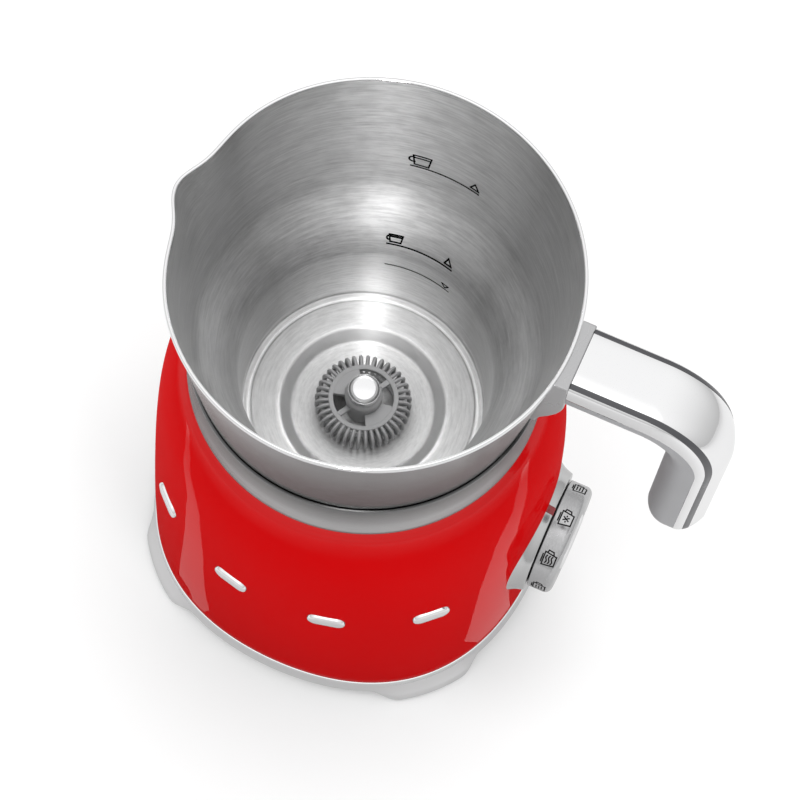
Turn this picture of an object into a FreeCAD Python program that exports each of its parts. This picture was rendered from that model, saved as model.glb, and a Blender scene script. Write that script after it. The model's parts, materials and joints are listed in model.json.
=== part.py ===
# Induction milk frother: a powered base with a lift-out steel jug and a magnetic whisk.
# Millimetres, +Z up. The origin is on the table at the centre of the base.
# +X points to the handle and the knob, -X to the spout, -Y is the front with the badge.
import FreeCAD, Part
import math
import os

V = FreeCAD.Vector
OUT = "parts"
os.makedirs(OUT, exist_ok=True)

# ---------------------------------------------------------------- driving dimensions
# base
SHELL_R = 65.0            # shell's mean radius at its bottom edge
SHELL_Z0 = 11.0           # shell's bottom edge
SHELL_TOP_Z = 124.5       # shell's top edge, where the collar starts
SHELL_TOP_R = 52.15
SHELL_WALL = 2.4
LOBE = 1.35               # how far the four corners stand out at the shell's bottom edge
FOOT_R = 67.3             # base ring's mean radius at its foot
FOOT_LOBE = 2.5           # how far the four feet stand out there
RING_Z0 = 0.8             # underside of the feet; the rubber ring stands below it
COVER_Z = 2.0             # underside of the bottom cover, held up by the rubber ring
ARCH_R = 262.0            # radius of the arches cut into the base ring between its feet
ARCH_RISE = 2.6
COLLAR_TOP = 141.5
COLLAR_R = SHELL_TOP_R - 0.05
SKIRT_R = SHELL_TOP_R - 1.65    # outside of the collar's skirt, inside the shell's top edge
SKIRT_Z = 120.0           # lower edge of the skirt, where it stands on the well's flange
# jug
RIM_R = 57.3              # outside radius of the rim
RIM_Z = 193.3
JUG_WALL = 0.9
NECK_R = 50.0             # outside radius at the foot of the jug's upper cone
NECK_Z = 138.0
FLOOR_Z = 91.3            # top of the jug's outer floor
RECESS_R = 23.6           # radius of the recess in the floor
RECESS_Z = 87.4           # top of the recessed floor
# well that the jug stands in
WELL_R = 39.0
WELL_FLOOR = 86.4
WELL_WALL = 1.6
SENSOR_Y = 19.0           # the temperature sensor comes through the well's floor here
COIL_Z = 79.0             # underside of the winding
# motor
MOTOR_TOP = 64.0
MOTOR_R = 14.0
SHAFT_R = 1.5
MOTOR_SCREW_X = 9.0
DRIVE_TOP = 84.2          # top of the disc that carries the drive magnets
# knob
KNOB_Z = 50.0             # height of the knob's axis, which runs along +X
KNOB_R = 17.9
KNOB_X0 = 65.3            # knob's inner end
KNOB_X1 = 73.3            # knob's outer end
KNOB_BORE = 12.0          # outside radius of the knob's carrier
BUTTON_R = 9.3
BEZEL_R = 19.4            # bezel's radius at its front edge
BEZEL_X0 = 57.0
BEZEL_X1 = 65.0
# handle
HANDLE_TOP = 192.3
HANDLE_W = 20.4
HANDLE_X0 = 60.4          # where the handle meets its bracket
HANDLE_X1 = 106.8         # outermost point of the hanging grip
HANDLE_BEND = 24.7        # outside radius of the bend
HANDLE_CAP = 7.0          # depth of the chrome shell's sides below its crown
HANDLE_END_Z = 117.8
# power cord, which leaves at the back
CORD_Z = 22.0
CORD_R = 3.0

RUN = 0.05                # radial running clearance of a shaft in its bore
MAGNET_R = 7.1            # radius at which the whisk's and the drive's magnets sit
POST_R = 46.0             # radius of the circle on which the well's four posts stand
POST_ANGLES = (45, 135, 225, 315)


# ---------------------------------------------------------------- helpers
def save(name, shape):
    shape.exportStep("%s/%s.step" % (OUT, name))


def group(solids):
    return Part.makeCompound(solids)


def cyl(r, z0, z1, x=0.0, y=0.0):
    return Part.makeCylinder(r, z1 - z0, V(x, y, z0))


def tube(r_out, r_in, z0, z1, x=0.0, y=0.0):
    return cyl(r_out, z0, z1, x, y).cut(cyl(r_in, z0 - 1, z1 + 1, x, y))


def xcyl(r, x0, x1, y=0.0, z=KNOB_Z):
    return Part.makeCylinder(r, x1 - x0, V(x0, y, z), V(1, 0, 0))


def xtube(r_out, r_in, x0, x1, y=0.0, z=KNOB_Z):
    return xcyl(r_out, x0, x1, y, z).cut(xcyl(r_in, x0 - 1, x1 + 1, y, z))


def ycyl(r, y0, y1, x=0.0, z=CORD_Z):
    return Part.makeCylinder(r, y1 - y0, V(x, y0, z), V(0, 1, 0))


def box(x0, x1, y0, y1, z0, z1):
    return Part.makeBox(x1 - x0, y1 - y0, z1 - z0, V(x0, y0, z0))


def turn(shape, angle):
    copy = shape.copy()
    copy.rotate(V(0, 0, 0), V(0, 0, 1), angle)
    return copy


def around(shape, angles):
    return [turn(shape, a) for a in angles]


def polar(r, angle, z=0.0):
    a = math.radians(angle)
    return V(r * math.cos(a), r * math.sin(a), z)


def lines(points):
    """Straight edges through (r, z) points."""
    return [Part.makeLine(V(a[0], 0, a[1]), V(b[0], 0, b[1])) for a, b in zip(points, points[1:])]


def arc(a, b, c):
    """Arc through three (r, z) points."""
    return Part.Arc(V(a[0], 0, a[1]), V(b[0], 0, b[1]), V(c[0], 0, c[1])).toShape()


def spline(points):
    curve = Part.BSplineCurve()
    curve.interpolate([V(r, 0, z) for r, z in points])
    return curve.toShape()


def face_of(edges):
    return Part.Face(Part.Wire(edges))


def spin(edges):
    """Solid of revolution about Z of a closed (r, z) outline."""
    return face_of(edges).revolve(V(0, 0, 0), V(0, 0, 1), 360)


def spin_x(edges, z=KNOB_Z):
    """Solid of revolution about the knob's axis: an (r, z) outline with r outwards and z along +X."""
    solid = spin(edges)
    solid.rotate(V(0, 0, 0), V(0, 1, 0), 90)
    solid.translate(V(0, 0, z))
    return solid


def closed_curve(radius_at, z, count=96):
    """Closed smooth curve at height z whose radius is a function of the angle in degrees."""
    curve = Part.BSplineCurve()
    points = [polar(radius_at(360.0 * i / count), 360.0 * i / count, z) for i in range(count)]
    even = [i / count for i in range(count + 1)]
    curve.interpolate(Points=points, PeriodicFlag=True, Parameters=even)
    return Part.Wire(curve.toShape())


def loft(wires):
    return Part.makeLoft(wires, True, False)


# ---------------------------------------------------------------- base: shell and trim
# height, mean radius and lobe depth of the shell's outside, from its lower edge to the collar
SHELL_LINE = [(SHELL_Z0, SHELL_R, LOBE), (32.0, 64.7, 1.1), (55.0, 63.9, 0.75), (77.0, 62.8, 0.35),
              (94.0, 61.4, 0.0), (106.0, 59.7, 0.0), (115.0, 57.3, 0.0), (121.0, 54.8, 0.0),
              (SHELL_TOP_Z, SHELL_TOP_R, 0.0)]
SHELL_INSIDE = [(SHELL_Z0 - 2.0, SHELL_R, LOBE), (32.0, 64.7, 1.1), (55.0, 63.9, 0.75), (77.0, 62.8, 0.35),
                (94.0, 61.4, 0.0), (105.0, 59.6, 0.0), (113.0, 57.0, 0.0), (118.6, 54.0, 0.0),
                (SHELL_TOP_Z - 2.0, 51.0, 0.0)]
BADGE_Z = 71.0
BADGE_STEP = 29.0         # angle between two badge bars
BADGE_LEN = 11.6
BADGE_H = 5.4


def lobed(r, lobe):
    return lambda a: r - lobe * math.cos(math.radians(4 * a))


def shell_radius(angle, z):
    """Outside radius of the shell's side."""
    for (z0, r0, l0), (z1, r1, l1) in zip(SHELL_LINE, SHELL_LINE[1:]):
        if z0 <= z <= z1:
            t = (z - z0) / (z1 - z0)
            return lobed(r0 + t * (r1 - r0), l0 + t * (l1 - l0))(angle)


def shell_form(line, inset=0.0):
    """Filled form of the shell."""
    return loft([closed_curve(lobed(r - inset, lobe), z, 48) for z, r, lobe in line])


def badge_bars():
    """Four plain bars with rounded ends, set into the front of the shell."""
    bars = []
    half = (BADGE_LEN - BADGE_H) / 2
    for i in range(4):
        angle = -90 + BADGE_STEP * (i - 1.5)
        r = shell_radius(angle, BADGE_Z)
        pill = box(r - 1.2, r + 1.1, -half, half, BADGE_Z - BADGE_H / 2, BADGE_Z + BADGE_H / 2)
        for y in (-half, half):
            pill = pill.fuse(xcyl(BADGE_H / 2, r - 1.2, r + 1.1, y, BADGE_Z))
        bars.append(turn(pill.removeSplitter(), angle))
    return bars


def outer_shell(bars):
    body = shell_form(SHELL_LINE).cut(shell_form(SHELL_INSIDE, SHELL_WALL))
    body = body.cut(cyl(SKIRT_R + 0.05, SHELL_TOP_Z - 12, SHELL_TOP_Z + 1))
    body = body.cut(xcyl(KNOB_BORE + 1.2, 40, 80))
    body = body.cut(ycyl(CORD_R + 2.0, 50, 80))
    for bar in bars:
        body = body.cut(bar)
    return body


def collar_ring():
    """Ring with a hollow outer face, and a skirt that reaches down inside the shell."""
    foot, top = SHELL_TOP_Z, COLLAR_TOP
    lip_out, lip_in = COLLAR_R - 0.7, COLLAR_R - 1.1
    outline = lines([(COLLAR_R, foot), (COLLAR_R, foot + 0.4)])
    outline.append(arc((COLLAR_R, foot + 0.4), (COLLAR_R - 0.6, foot + 6.0), (lip_out, top - 0.4)))
    outline.append(arc((lip_out, top - 0.4), ((lip_out + lip_in) / 2, top), (lip_in, top - 0.3)))
    outline += lines([(lip_in, top - 0.3), (COLLAR_R - 2.4, SKIRT_Z), (SKIRT_R, SKIRT_Z), (SKIRT_R, foot),
                      (COLLAR_R, foot)])
    return spin(outline)


def base_ring():
    """Chrome ring under the shell; it flares into four feet and is arched between them."""
    heights = [(RING_Z0, FOOT_R, FOOT_LOBE), (4.0, 66.3, 2.0), (7.5, 65.7, 1.6), (SHELL_Z0, 65.5, LOBE)]
    ring = loft([closed_curve(lobed(r, lobe), z, 48) for z, r, lobe in heights])
    ring = ring.cut(cyl(60.6, -1, 20))
    ring = ring.fuse(tube(61.1, 59.3, SHELL_Z0 - 2.5, SHELL_Z0 + 3.5))
    for angle in (0, 90, 180, 270):
        arch = xcyl(ARCH_R, 50, 80, 0, RING_Z0 + ARCH_RISE - ARCH_R)
        ring = ring.cut(turn(arch, angle))
    return ring


def bottom_cover():
    """Plastic underside with a rim inside the base ring, four board pillars and vents."""
    cover = cyl(60.5, COVER_Z, 4.0).fuse(tube(59.2, 57.4, 4.0, 9.0))
    for x, y in BOARD_HOLES:
        cover = cover.fuse(cyl(3.0, 4.0, 14.0, x, y))
        cover = cover.cut(cyl(1.2, 7.0, 15.0, x, y))
    for hole in around(cyl(1.6, 0, 5, POST_R), POST_ANGLES) + around(cyl(3.1, 0, 3.0, POST_R), POST_ANGLES):
        cover = cover.cut(hole)
    for i in range(-3, 4):
        y = 4.5 * i
        cover = cover.cut(box(-11, 11, y - 0.9, y + 0.9, 1, 5))
    return cover


def foot_ring():
    """Rubber ring under the cover that the whole frother rests on."""
    return tube(57.0, 52.0, 0.0, COVER_Z)


def cover_screws():
    screw = cyl(1.5, 2.9, 14.0, POST_R).fuse(cyl(2.9, 2.1, 2.95, POST_R))
    return group(around(screw, POST_ANGLES))


# ---------------------------------------------------------------- base: well, coil and motor
def well_liner():
    """Cup that the jug stands in, with a flange under the collar and four posts down to the cover."""
    r, w = WELL_R, WELL_WALL
    flange = SKIRT_Z - w
    outline = lines([(0, WELL_FLOOR - w), (r + w, WELL_FLOOR - w), (r + w, flange), (SKIRT_R, flange),
                     (SKIRT_R, SKIRT_Z), (r, SKIRT_Z), (r, WELL_FLOOR), (0, WELL_FLOOR),
                     (0, WELL_FLOOR - w)])
    liner = spin(outline)
    for post in around(cyl(3.8, 4.0, flange + 0.5, POST_R), POST_ANGLES):
        liner = liner.fuse(post)
    for hole in around(cyl(1.5, 3.0, 14.0, POST_R), POST_ANGLES):
        liner = liner.cut(hole)
    return liner.cut(cyl(3.0, 80, 90, 0, SENSOR_Y))


def temperature_sensor():
    return cyl(3.0, 78.0, WELL_FLOOR + 0.02, 0, SENSOR_Y).fuse(cyl(1.2, 70.0, 78.5, 0, SENSOR_Y))


def coil_former():
    former = tube(38.2, 15.6, COIL_Z - 2.5, WELL_FLOOR - WELL_WALL)
    former = former.cut(tube(36.6, 23.4, COIL_Z, 90.0))
    return former.cut(cyl(3.05, 70, 90, 0, SENSOR_Y))


def induction_coil():
    """Flat winding of six turns."""
    return group([tube(25.4 + 2.1 * i, 23.6 + 2.1 * i, COIL_Z, COIL_Z + 4.4) for i in range(6)])


def ferrite_bars():
    return group(around(box(22.0, 37.0, -3.5, 3.5, COIL_Z - 5.4, COIL_Z - 2.5), range(30, 390, 60)))


def motor_bracket():
    """Plate on the motor, with four arms clamped round the well's posts."""
    z0, z1 = MOTOR_TOP, MOTOR_TOP + 2.2
    plate = cyl(MOTOR_R + 5.0, z0, z1)
    for angle in POST_ANGLES:
        plate = plate.fuse(turn(box(0, POST_R, -5, 5, z0, z1), angle))
        plate = plate.fuse(turn(cyl(6.0, z0, z1, POST_R), angle))
    for angle in POST_ANGLES:
        plate = plate.cut(turn(cyl(3.8, 60, 70, POST_R), angle))
    plate = plate.cut(cyl(5.2, 60, 70))
    for x in (-MOTOR_SCREW_X, MOTOR_SCREW_X):
        plate = plate.cut(cyl(1.3, 60, 70, x))
    return plate.removeSplitter()


def motor_can():
    can = cyl(MOTOR_R, 33.0, MOTOR_TOP).fuse(cyl(5.0, MOTOR_TOP, 67.5)).fuse(cyl(6.0, 31.5, 33.0))
    can = can.cut(cyl(SHAFT_R + RUN, 35.0, 70.0))
    for x in (-MOTOR_SCREW_X, MOTOR_SCREW_X):
        can = can.cut(cyl(1.2, 60.0, 65.0, x))
    return can


def motor_screws():
    head = MOTOR_TOP + 2.2
    screw = cyl(1.2, 60.0, head, MOTOR_SCREW_X).fuse(cyl(2.4, head, head + 1.6, MOTOR_SCREW_X))
    return group(around(screw, (0, 180)))


def motor_shaft():
    return cyl(SHAFT_R, 35.5, 80.0)


def magnet_places(shape):
    """The same piece on both sides of the axis, at the magnets' radius."""
    places = []
    for x in (-MAGNET_R, MAGNET_R):
        copy = shape.copy()
        copy.translate(V(x, 0, 0))
        places.append(copy)
    return places


def drive_disc():
    """Disc on the motor's shaft, under the well's floor, with two pockets for magnets."""
    disc = cyl(12.2, 79.0, DRIVE_TOP).fuse(cyl(3.6, 76.5, 79.0)).cut(cyl(SHAFT_R, 70, 80.0))
    for pocket in magnet_places(cyl(2.6, 80.6, DRIVE_TOP + 0.8)):
        disc = disc.cut(pocket)
    return disc


def drive_magnets():
    return group(magnet_places(cyl(2.6, 80.6, DRIVE_TOP - 0.1)))


# ---------------------------------------------------------------- base: electronics and cord
BOARD_Z = 14.0
BOARD_T = 1.6
BOARD_HOLES = [(-23.0, -35.0), (23.0, -35.0), (-23.0, 36.0), (23.0, 36.0)]


def control_board():
    board = box(-27, 27, -39, 40, BOARD_Z, BOARD_Z + BOARD_T)
    for x, y in BOARD_HOLES:
        board = board.cut(cyl(1.3, 10, 20, x, y))
    return board


def board_screws():
    top = BOARD_Z + BOARD_T
    return group([cyl(1.2, 8.0, top, x, y).fuse(cyl(2.3, top, top + 1.4, x, y)) for x, y in BOARD_HOLES])


def board_components():
    """Three capacitors, a transformer, a controller, a relay and a filter coil."""
    top = BOARD_Z + BOARD_T
    capacitors = [cyl(5.0, top, top + 13, -14, 26), cyl(5.0, top, top + 13, -2, 26),
                  cyl(3.2, top, top + 9, 9, 29)]
    blocks = [box(6, 22, -30, -16, top, top + 11), box(-6, 18, -8, 4, top, top + 3.2),
              box(6, 24, 10, 22, top, top + 12), box(-20, -12, 4, 16, top, top + 7)]
    return group(capacitors + blocks)


def heat_sink():
    """Base plate with six fins."""
    top = BOARD_Z + BOARD_T
    sink = box(-24, -4, -30, -10, top, top + 2.4)
    for i in range(6):
        x = -24 + 3.72 * i
        sink = sink.fuse(box(x, x + 1.4, -30, -10, top + 2.0, top + 13.0))
    return sink.removeSplitter()


def cord_grip():
    """Rubber bush in the shell's rear hole, with a tapered boot around the cord."""
    bush = ycyl(4.95, 57.6, 66.0).fuse(ycyl(6.8, 57.2, 60.4)).fuse(ycyl(7.2, 63.75, 66.4))
    bush = bush.fuse(Part.makeCone(6.0, 4.1, 13.0, V(0, 66.4, CORD_Z), V(0, 1, 0)))
    return bush.cut(ycyl(CORD_R, 50, 90))


def power_cord():
    return ycyl(CORD_R, 43.0, 90.0)


def cord_clamp():
    clamp = box(-9, 9, 47, 53, 4.0, CORD_Z + 6.5)
    return clamp.cut(ycyl(CORD_R, 40, 60))


# ---------------------------------------------------------------- knob and start button
def flare(out):
    """The bezel's hollow outer line, moved outwards by out."""
    r, x0, x1 = BEZEL_R + out, BEZEL_X0, BEZEL_X1
    return [arc((r, x1), (r + 1.2, x1 - 3.4), (r + 4.0, x0))]


def knob_bezel():
    """Silver flare between the shell's side and the knob, with a guide bore for the knob."""
    outline = flare(0.0)
    outline += lines([(BEZEL_R + 4.0, BEZEL_X0), (KNOB_BORE + RUN, BEZEL_X0), (KNOB_BORE + RUN, 63.6),
                      (17.0, 63.6), (17.0, BEZEL_X1), (BEZEL_R, BEZEL_X1)])
    around_bore = shell_form(SHELL_LINE).cut(xcyl(KNOB_BORE + 1.15, 40, 80))
    return spin_x(outline).cut(around_bore).cut(index_bar())


def index_bar():
    return box(61.0, 64.7, -1.3, 1.3, KNOB_Z + 18.4, KNOB_Z + 22.4)


def index_mark():
    """Dark red bar let into the top of the bezel."""
    r = BEZEL_R + 0.15
    outline = flare(0.15)
    outline += lines([(r + 4.0, BEZEL_X0), (17.0, BEZEL_X0), (17.0, BEZEL_X1), (r, BEZEL_X1)])
    return index_bar().common(spin_x(outline)).cut(shell_form(SHELL_LINE))


def knob_ring():
    r, x0, x1, edge = KNOB_R, KNOB_X0, KNOB_X1, 2.2
    outline = [arc((r, x1 - edge), (r - 0.3 * edge, x1 - 0.3 * edge), (r - edge, x1))]
    outline += lines([(r - edge, x1), (KNOB_BORE, x1 - 0.6), (KNOB_BORE, 69.6), (16.2, 69.6), (16.2, x0),
                      (r, x0), (r, x1 - edge)])
    return spin_x(outline)


def knob_carrier():
    """Sleeve that turns in the bezel, with a floor that grips the encoder's shaft."""
    return xtube(KNOB_BORE, BUTTON_R + 0.3, 58.0, 70.9).fuse(xtube(KNOB_BORE, 3.0, 58.0, 60.4))


def light_ring():
    return xtube(KNOB_BORE - 0.05, BUTTON_R + 0.3, 70.9, KNOB_X1 - 0.7)


def encoder_shaft():
    return xtube(3.0, 1.6, 47.0, 60.4)


def encoder_body():
    body = box(38.6, 55.0, -8, 8, KNOB_Z - 8, KNOB_Z + 8)
    body = body.cut(xcyl(5.2, 38.0, 46.5))
    return body.cut(xcyl(3.0 + RUN, 40.0, 60.0))


def knob_board():
    return box(37.0, 38.6, -13, 13, KNOB_Z - 15, KNOB_Z + 12)


def tact_switch():
    return box(38.6, 41.8, -3, 3, KNOB_Z - 3, KNOB_Z + 3).fuse(xcyl(1.6, 41.8, 43.0))


def start_button():
    r, x1 = BUTTON_R, KNOB_X1 + 0.3
    outline = [arc((r, x1 - 1.0), (r - 0.3, x1 - 0.3), (r - 1.0, x1 - 0.1))]
    outline += lines([(r - 1.0, x1 - 0.1), (0, x1 - 0.5), (0, 68.0), (r, 68.0), (r, x1 - 1.0)])
    return spin_x(outline)


def button_stem():
    return xcyl(1.5, 44.6, 68.0).fuse(xcyl(4.0, 65.6, 68.0))


# ---------------------------------------------------------------- jug
CONE_SLOPE = (RIM_R - NECK_R) / (RIM_Z - NECK_Z)
SPOUT_Z = 152.0           # below this height the jug is round
SPOUT_OUT = 4.6           # how far the spout's nose is drawn out
SPOUT_PINCH = 3.0         # how far the rim beside it is drawn in
SPOUT_ANGLE = 180.0


def cone_radius(z):
    return RIM_R - CONE_SLOPE * (RIM_Z - z)


def spout_form(angle):
    """Change of the rim's radius around the spout."""
    d = (angle - SPOUT_ANGLE + 180.0) % 360.0 - 180.0
    return SPOUT_OUT * math.exp(-(d / 8.5) ** 2) - SPOUT_PINCH * math.exp(-(d / 26.0) ** 2)


def jug_level(r, z):
    """Outline of the jug at height z: round, but drawn into the spout near the rim."""
    share = (max(0.0, z - SPOUT_Z) / (RIM_Z - SPOUT_Z)) ** 1.8
    return closed_curve(lambda a: r + share * spout_form(a), z)


def jug_form(inset, top):
    """The jug filled, moved in by inset: floor, narrow cylinder, shoulder, cone and spout."""
    t = inset
    foot_z = FLOOR_Z - JUG_WALL + t
    recess_z = RECESS_Z - JUG_WALL + t
    wall = 37.4 - t
    waist = (38.3 - t, 116.0)
    neck = (NECK_R - t, NECK_Z)
    spout = (cone_radius(SPOUT_Z) - t, SPOUT_Z)
    shoulder = [waist, (38.9 - t, 122.6), (41.2 - 0.6 * t, 127.0 + 0.8 * t),
                (45.4 - 0.6 * t, 129.6 + 0.8 * t), (48.9 - t, 132.8 + 0.4 * t), neck]
    upper = [spout] + [(cone_radius(z) - t, z) for z in (162.0, 172.0, 181.0, 187.5, top)]
    form = cyl(RECESS_R + JUG_WALL - t, recess_z, foot_z + 0.5)
    straight = [[(wall - 1.2, foot_z), (wall, foot_z + 1.2)], [(wall, foot_z + 1.2), waist], [neck, spout]]
    for line in straight + [shoulder, upper]:
        form = form.fuse(loft([jug_level(r, z) for r, z in line]))
    return form


def jug_shell():
    return jug_form(0.0, RIM_Z).cut(jug_form(JUG_WALL, RIM_Z + 1.0))


def jug_base_plate():
    """Magnetic steel ring bonded under the jug's outer floor; the coil heats it."""
    return tube(35.6, RECESS_R + JUG_WALL + 1.0, 86.6, FLOOR_Z - JUG_WALL)


def jug_post():
    """Centre post on the recessed floor that carries the whisk."""
    return cyl(2.0, RECESS_Z, 99.8).fuse(cyl(4.2, RECESS_Z, RECESS_Z + 0.5))


# ---------------------------------------------------------------- handle
CAP_WALL = 1.6            # thickness of the chrome shell
INLAY_Y = 8.6             # distance of the dark inlay strips from the middle
INLAY_W = 1.3
INLAY_DEPTH = 0.7
BEND_X = HANDLE_X1 - HANDLE_BEND
BEND_Z = HANDLE_TOP - HANDLE_BEND
HANDLE_LEAD = 7.0         # the form starts this far inside the bracket and is then cut off square
SECTION_POINTS = 64


def superellipse(half_width, depth, power, steps=90):
    """Upper half of a superellipse as (y, height) points, from +Y to -Y."""
    points = []
    for i in range(steps + 1):
        a = math.pi * i / steps
        c = math.cos(a)
        side = math.copysign(abs(c) ** (2 / power), c)
        points.append((half_width * side, depth * abs(math.sin(a)) ** (2 / power)))
    return points


def evenly_spaced(points, count):
    """The closed polygon's points moved along it to equal distances."""
    closed = points + points[:1]
    steps = [math.dist(a, b) for a, b in zip(closed, closed[1:])]
    total = sum(steps)
    spaced = []
    i = 0
    passed = 0.0
    for k in range(count):
        target = total * k / count
        while passed + steps[i] < target:
            passed += steps[i]
            i += 1
        share = (target - passed) / steps[i] if steps[i] else 0.0
        a, b = closed[i], closed[i + 1]
        spaced.append((a[0] + share * (b[0] - a[0]), a[1] + share * (b[1] - a[1])))
    return spaced


def handle_section(grow, inset):
    """Section of the handle as (y, depth below the crown): flat at the bracket, domed at the grip."""
    power = 1.75 + 4.75 * (1 - grow) ** 2
    half = HANDLE_W / 2 - inset
    thick = 15.3 + 1.9 * grow
    side = 1.5 + 1.0 * grow
    crown = superellipse(half, HANDLE_CAP - inset, power)
    belly = superellipse(half, thick - HANDLE_CAP - side - inset, 2.2)
    outline = [(y, HANDLE_CAP - h) for y, h in crown]
    outline += [(-y, HANDLE_CAP + side + h) for y, h in belly]
    start = len(crown) + len(belly) // 2
    return evenly_spaced(outline[start:] + outline[:start], SECTION_POINTS)


def handle_stations(half):
    """Points on the crown line with the outward direction, how far the section has become the grip's,
    and the share of the full width, which shrinks to nearly nothing at the rounded lower end."""
    stations = []
    start = HANDLE_X0 - HANDLE_LEAD
    for i in range(6):
        stations.append((start + (BEND_X - start) * i / 6, HANDLE_TOP, 0.0, 1.0, 0.0, 1.0))
    for i in range(9):
        a = math.radians(90 - 90 * i / 8)
        x = BEND_X + HANDLE_BEND * math.cos(a)
        z = BEND_Z + HANDLE_BEND * math.sin(a)
        stations.append((x, z, math.cos(a), math.sin(a), i / 8, 1.0))
    end = HANDLE_END_Z + HANDLE_W / 2
    for i in range(1, 8):
        stations.append((HANDLE_X1, BEND_Z + (end - BEND_Z) * i / 7, 1.0, 0.0, 1.0, 1.0))
    for degrees in (15, 30, 45, 60, 72, 82):
        a = math.radians(degrees)
        stations.append((HANDLE_X1, end - half * math.sin(a), 1.0, 0.0, 1.0, math.cos(a)))
    return stations


def handle_form(inset):
    """The whole handle as one form, moved in by inset."""
    wires = []
    even = [i / SECTION_POINTS for i in range(SECTION_POINTS + 1)]
    for x, z, out_x, out_z, grow, share in handle_stations(HANDLE_W / 2 - inset):
        section = handle_section(grow, inset)
        points = [V(x - out_x * d, y * share, z - out_z * d) for y, d in section]
        curve = Part.BSplineCurve()
        curve.interpolate(Points=points, PeriodicFlag=True, Parameters=even)
        wires.append(Part.Wire(curve.toShape()))
    return loft(wires)


def cap_zone():
    """Everything outside the line where the chrome shell's sides end."""
    d = math.sqrt(0.5)
    bend = HANDLE_BEND - HANDLE_CAP
    seam_z = HANDLE_TOP - HANDLE_CAP
    seam_x = HANDLE_X1 - HANDLE_CAP
    outline = lines([(BEND_X, seam_z), (HANDLE_X0 - 1, seam_z), (HANDLE_X0 - 1, 200), (112, 200), (112, 110),
                     (seam_x, 110), (seam_x, BEND_Z)])
    outline.append(arc((seam_x, BEND_Z), (BEND_X + bend * d, BEND_Z + bend * d), (BEND_X, seam_z)))
    face = face_of(outline)
    face.translate(V(0, -HANDLE_W, 0))
    return face.extrude(V(0, 2 * HANDLE_W, 0))


def inlay_strips(cap):
    """Two strips let into the outer face, side by side."""
    skin = cap.cut(handle_form(INLAY_DEPTH))
    strips = []
    for side in (-1, 1):
        y = side * INLAY_Y
        lane = box(HANDLE_X0 - 5, 112, y - INLAY_W / 2, y + INLAY_W / 2, HANDLE_END_Z + 5.0, 200)
        strips.append(skin.common(lane))
    return strips


def handle_core(form, cap_shell):
    """Grey inner body, seen on the underside and the inner face, with wells for the two screws."""
    core = form.cut(cap_shell).cut(bracket_tab())
    for screw in handle_screw_list():
        core = core.cut(screw)
    for x in HANDLE_SCREWS_X:
        core = core.cut(cyl(2.6, 170.0, 183.2, x))
    return core


def handle_top_shell(cap_shell, strips):
    """Chrome shell over the core's outer face and sides."""
    shell = cap_shell
    for strip in strips:
        shell = shell.cut(strip)
    return shell


HANDLE_SCREWS_X = (66.0, 72.0)


def bracket_tab():
    return box(HANDLE_X0 - 2, 76.0, -6, 6, 185.0, 188.0)


def handle_screw_list():
    screws = []
    for x in HANDLE_SCREWS_X:
        screws.append(cyl(1.3, 184.0, 187.4, x).fuse(cyl(2.3, 183.1, 184.4, x)))
    return screws


def handle_bracket():
    """Satin bracket welded to the jug's wall below the rim, with a tab inside the handle."""
    top = HANDLE_TOP - 0.4
    outline = lines([(48, 162), (48, top), (HANDLE_X0, top), (HANDLE_X0, 178.5)])
    outline.append(arc((HANDLE_X0, 178.5), (57.8, 170.8), (53.4, 165.5)))
    outline += lines([(53.4, 165.5), (53.0, 162), (48, 162)])
    face = face_of(outline)
    face.translate(V(0, -10.3, 0))
    block = face.extrude(V(0, 20.6, 0))
    block = block.fuse(bracket_tab())
    low, high = 160.0, 200.0
    wall = Part.makeCone(cone_radius(low) + 0.01, cone_radius(high) + 0.01, high - low, V(0, 0, low))
    block = block.cut(wall)
    for screw in handle_screw_list():
        block = block.cut(screw)
    return block


# ---------------------------------------------------------------- whisk
RIBS = 40
WHISK_R = 14.5
WHISK_Z0 = 89.0
WHISK_TOP = 97.0
HUB_R = 3.4               # radius of the sleeve that the whisk disc turns on
HUB_Z0 = 88.2
COLLAR_Z = 101.0          # top of the hub's collar, where the cap sits
SECTORS = ((124, 194), (-61, 4))    # solid parts of the disc, as angles
SPOKES = (59, 239)
BOSSES = (-21, 159)       # angles of the two magnet bosses


def whisk_hub():
    """Sleeve on the jug's post: a foot and a collar hold the whisk disc between them."""
    hub = cyl(HUB_R, HUB_Z0, WHISK_TOP + 1.0).fuse(cyl(4.8, HUB_Z0, WHISK_Z0 - 0.1))
    hub = hub.fuse(cyl(5.7, WHISK_TOP + 0.3, COLLAR_Z))
    hub = hub.cut(cyl(2.0 + RUN, 80.0, 99.9))
    return hub.cut(box(-1.8, 1.8, -6.0, -5.1, 98.2, 99.6))


def whisk_cap():
    """Rounded steel cap on the hub."""
    r, z0, z1, edge = 4.9, COLLAR_Z, COLLAR_Z + 4.2, 1.6
    outline = [arc((r, z1 - edge), (r - 0.3 * edge, z1 - 0.3 * edge), (r - edge, z1))]
    outline += lines([(r - edge, z1), (0, z1), (0, z0), (r, z0), (r, z1 - edge)])
    return spin(outline)


def sector(r0, r1, z0, z1, a0, a1):
    """Part of a ring between two angles."""
    low = z0 - 1
    middle, tip = V(0, 0, low), polar(60, (a0 + a1) / 2, low)
    corners = [middle, polar(40, a0, low), tip, polar(40, a1, low), middle]
    wedge = Part.Face(Part.makePolygon(corners)).extrude(V(0, 0, z1 - z0 + 2))
    return tube(r1, r0, z0, z1).common(wedge)


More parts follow.
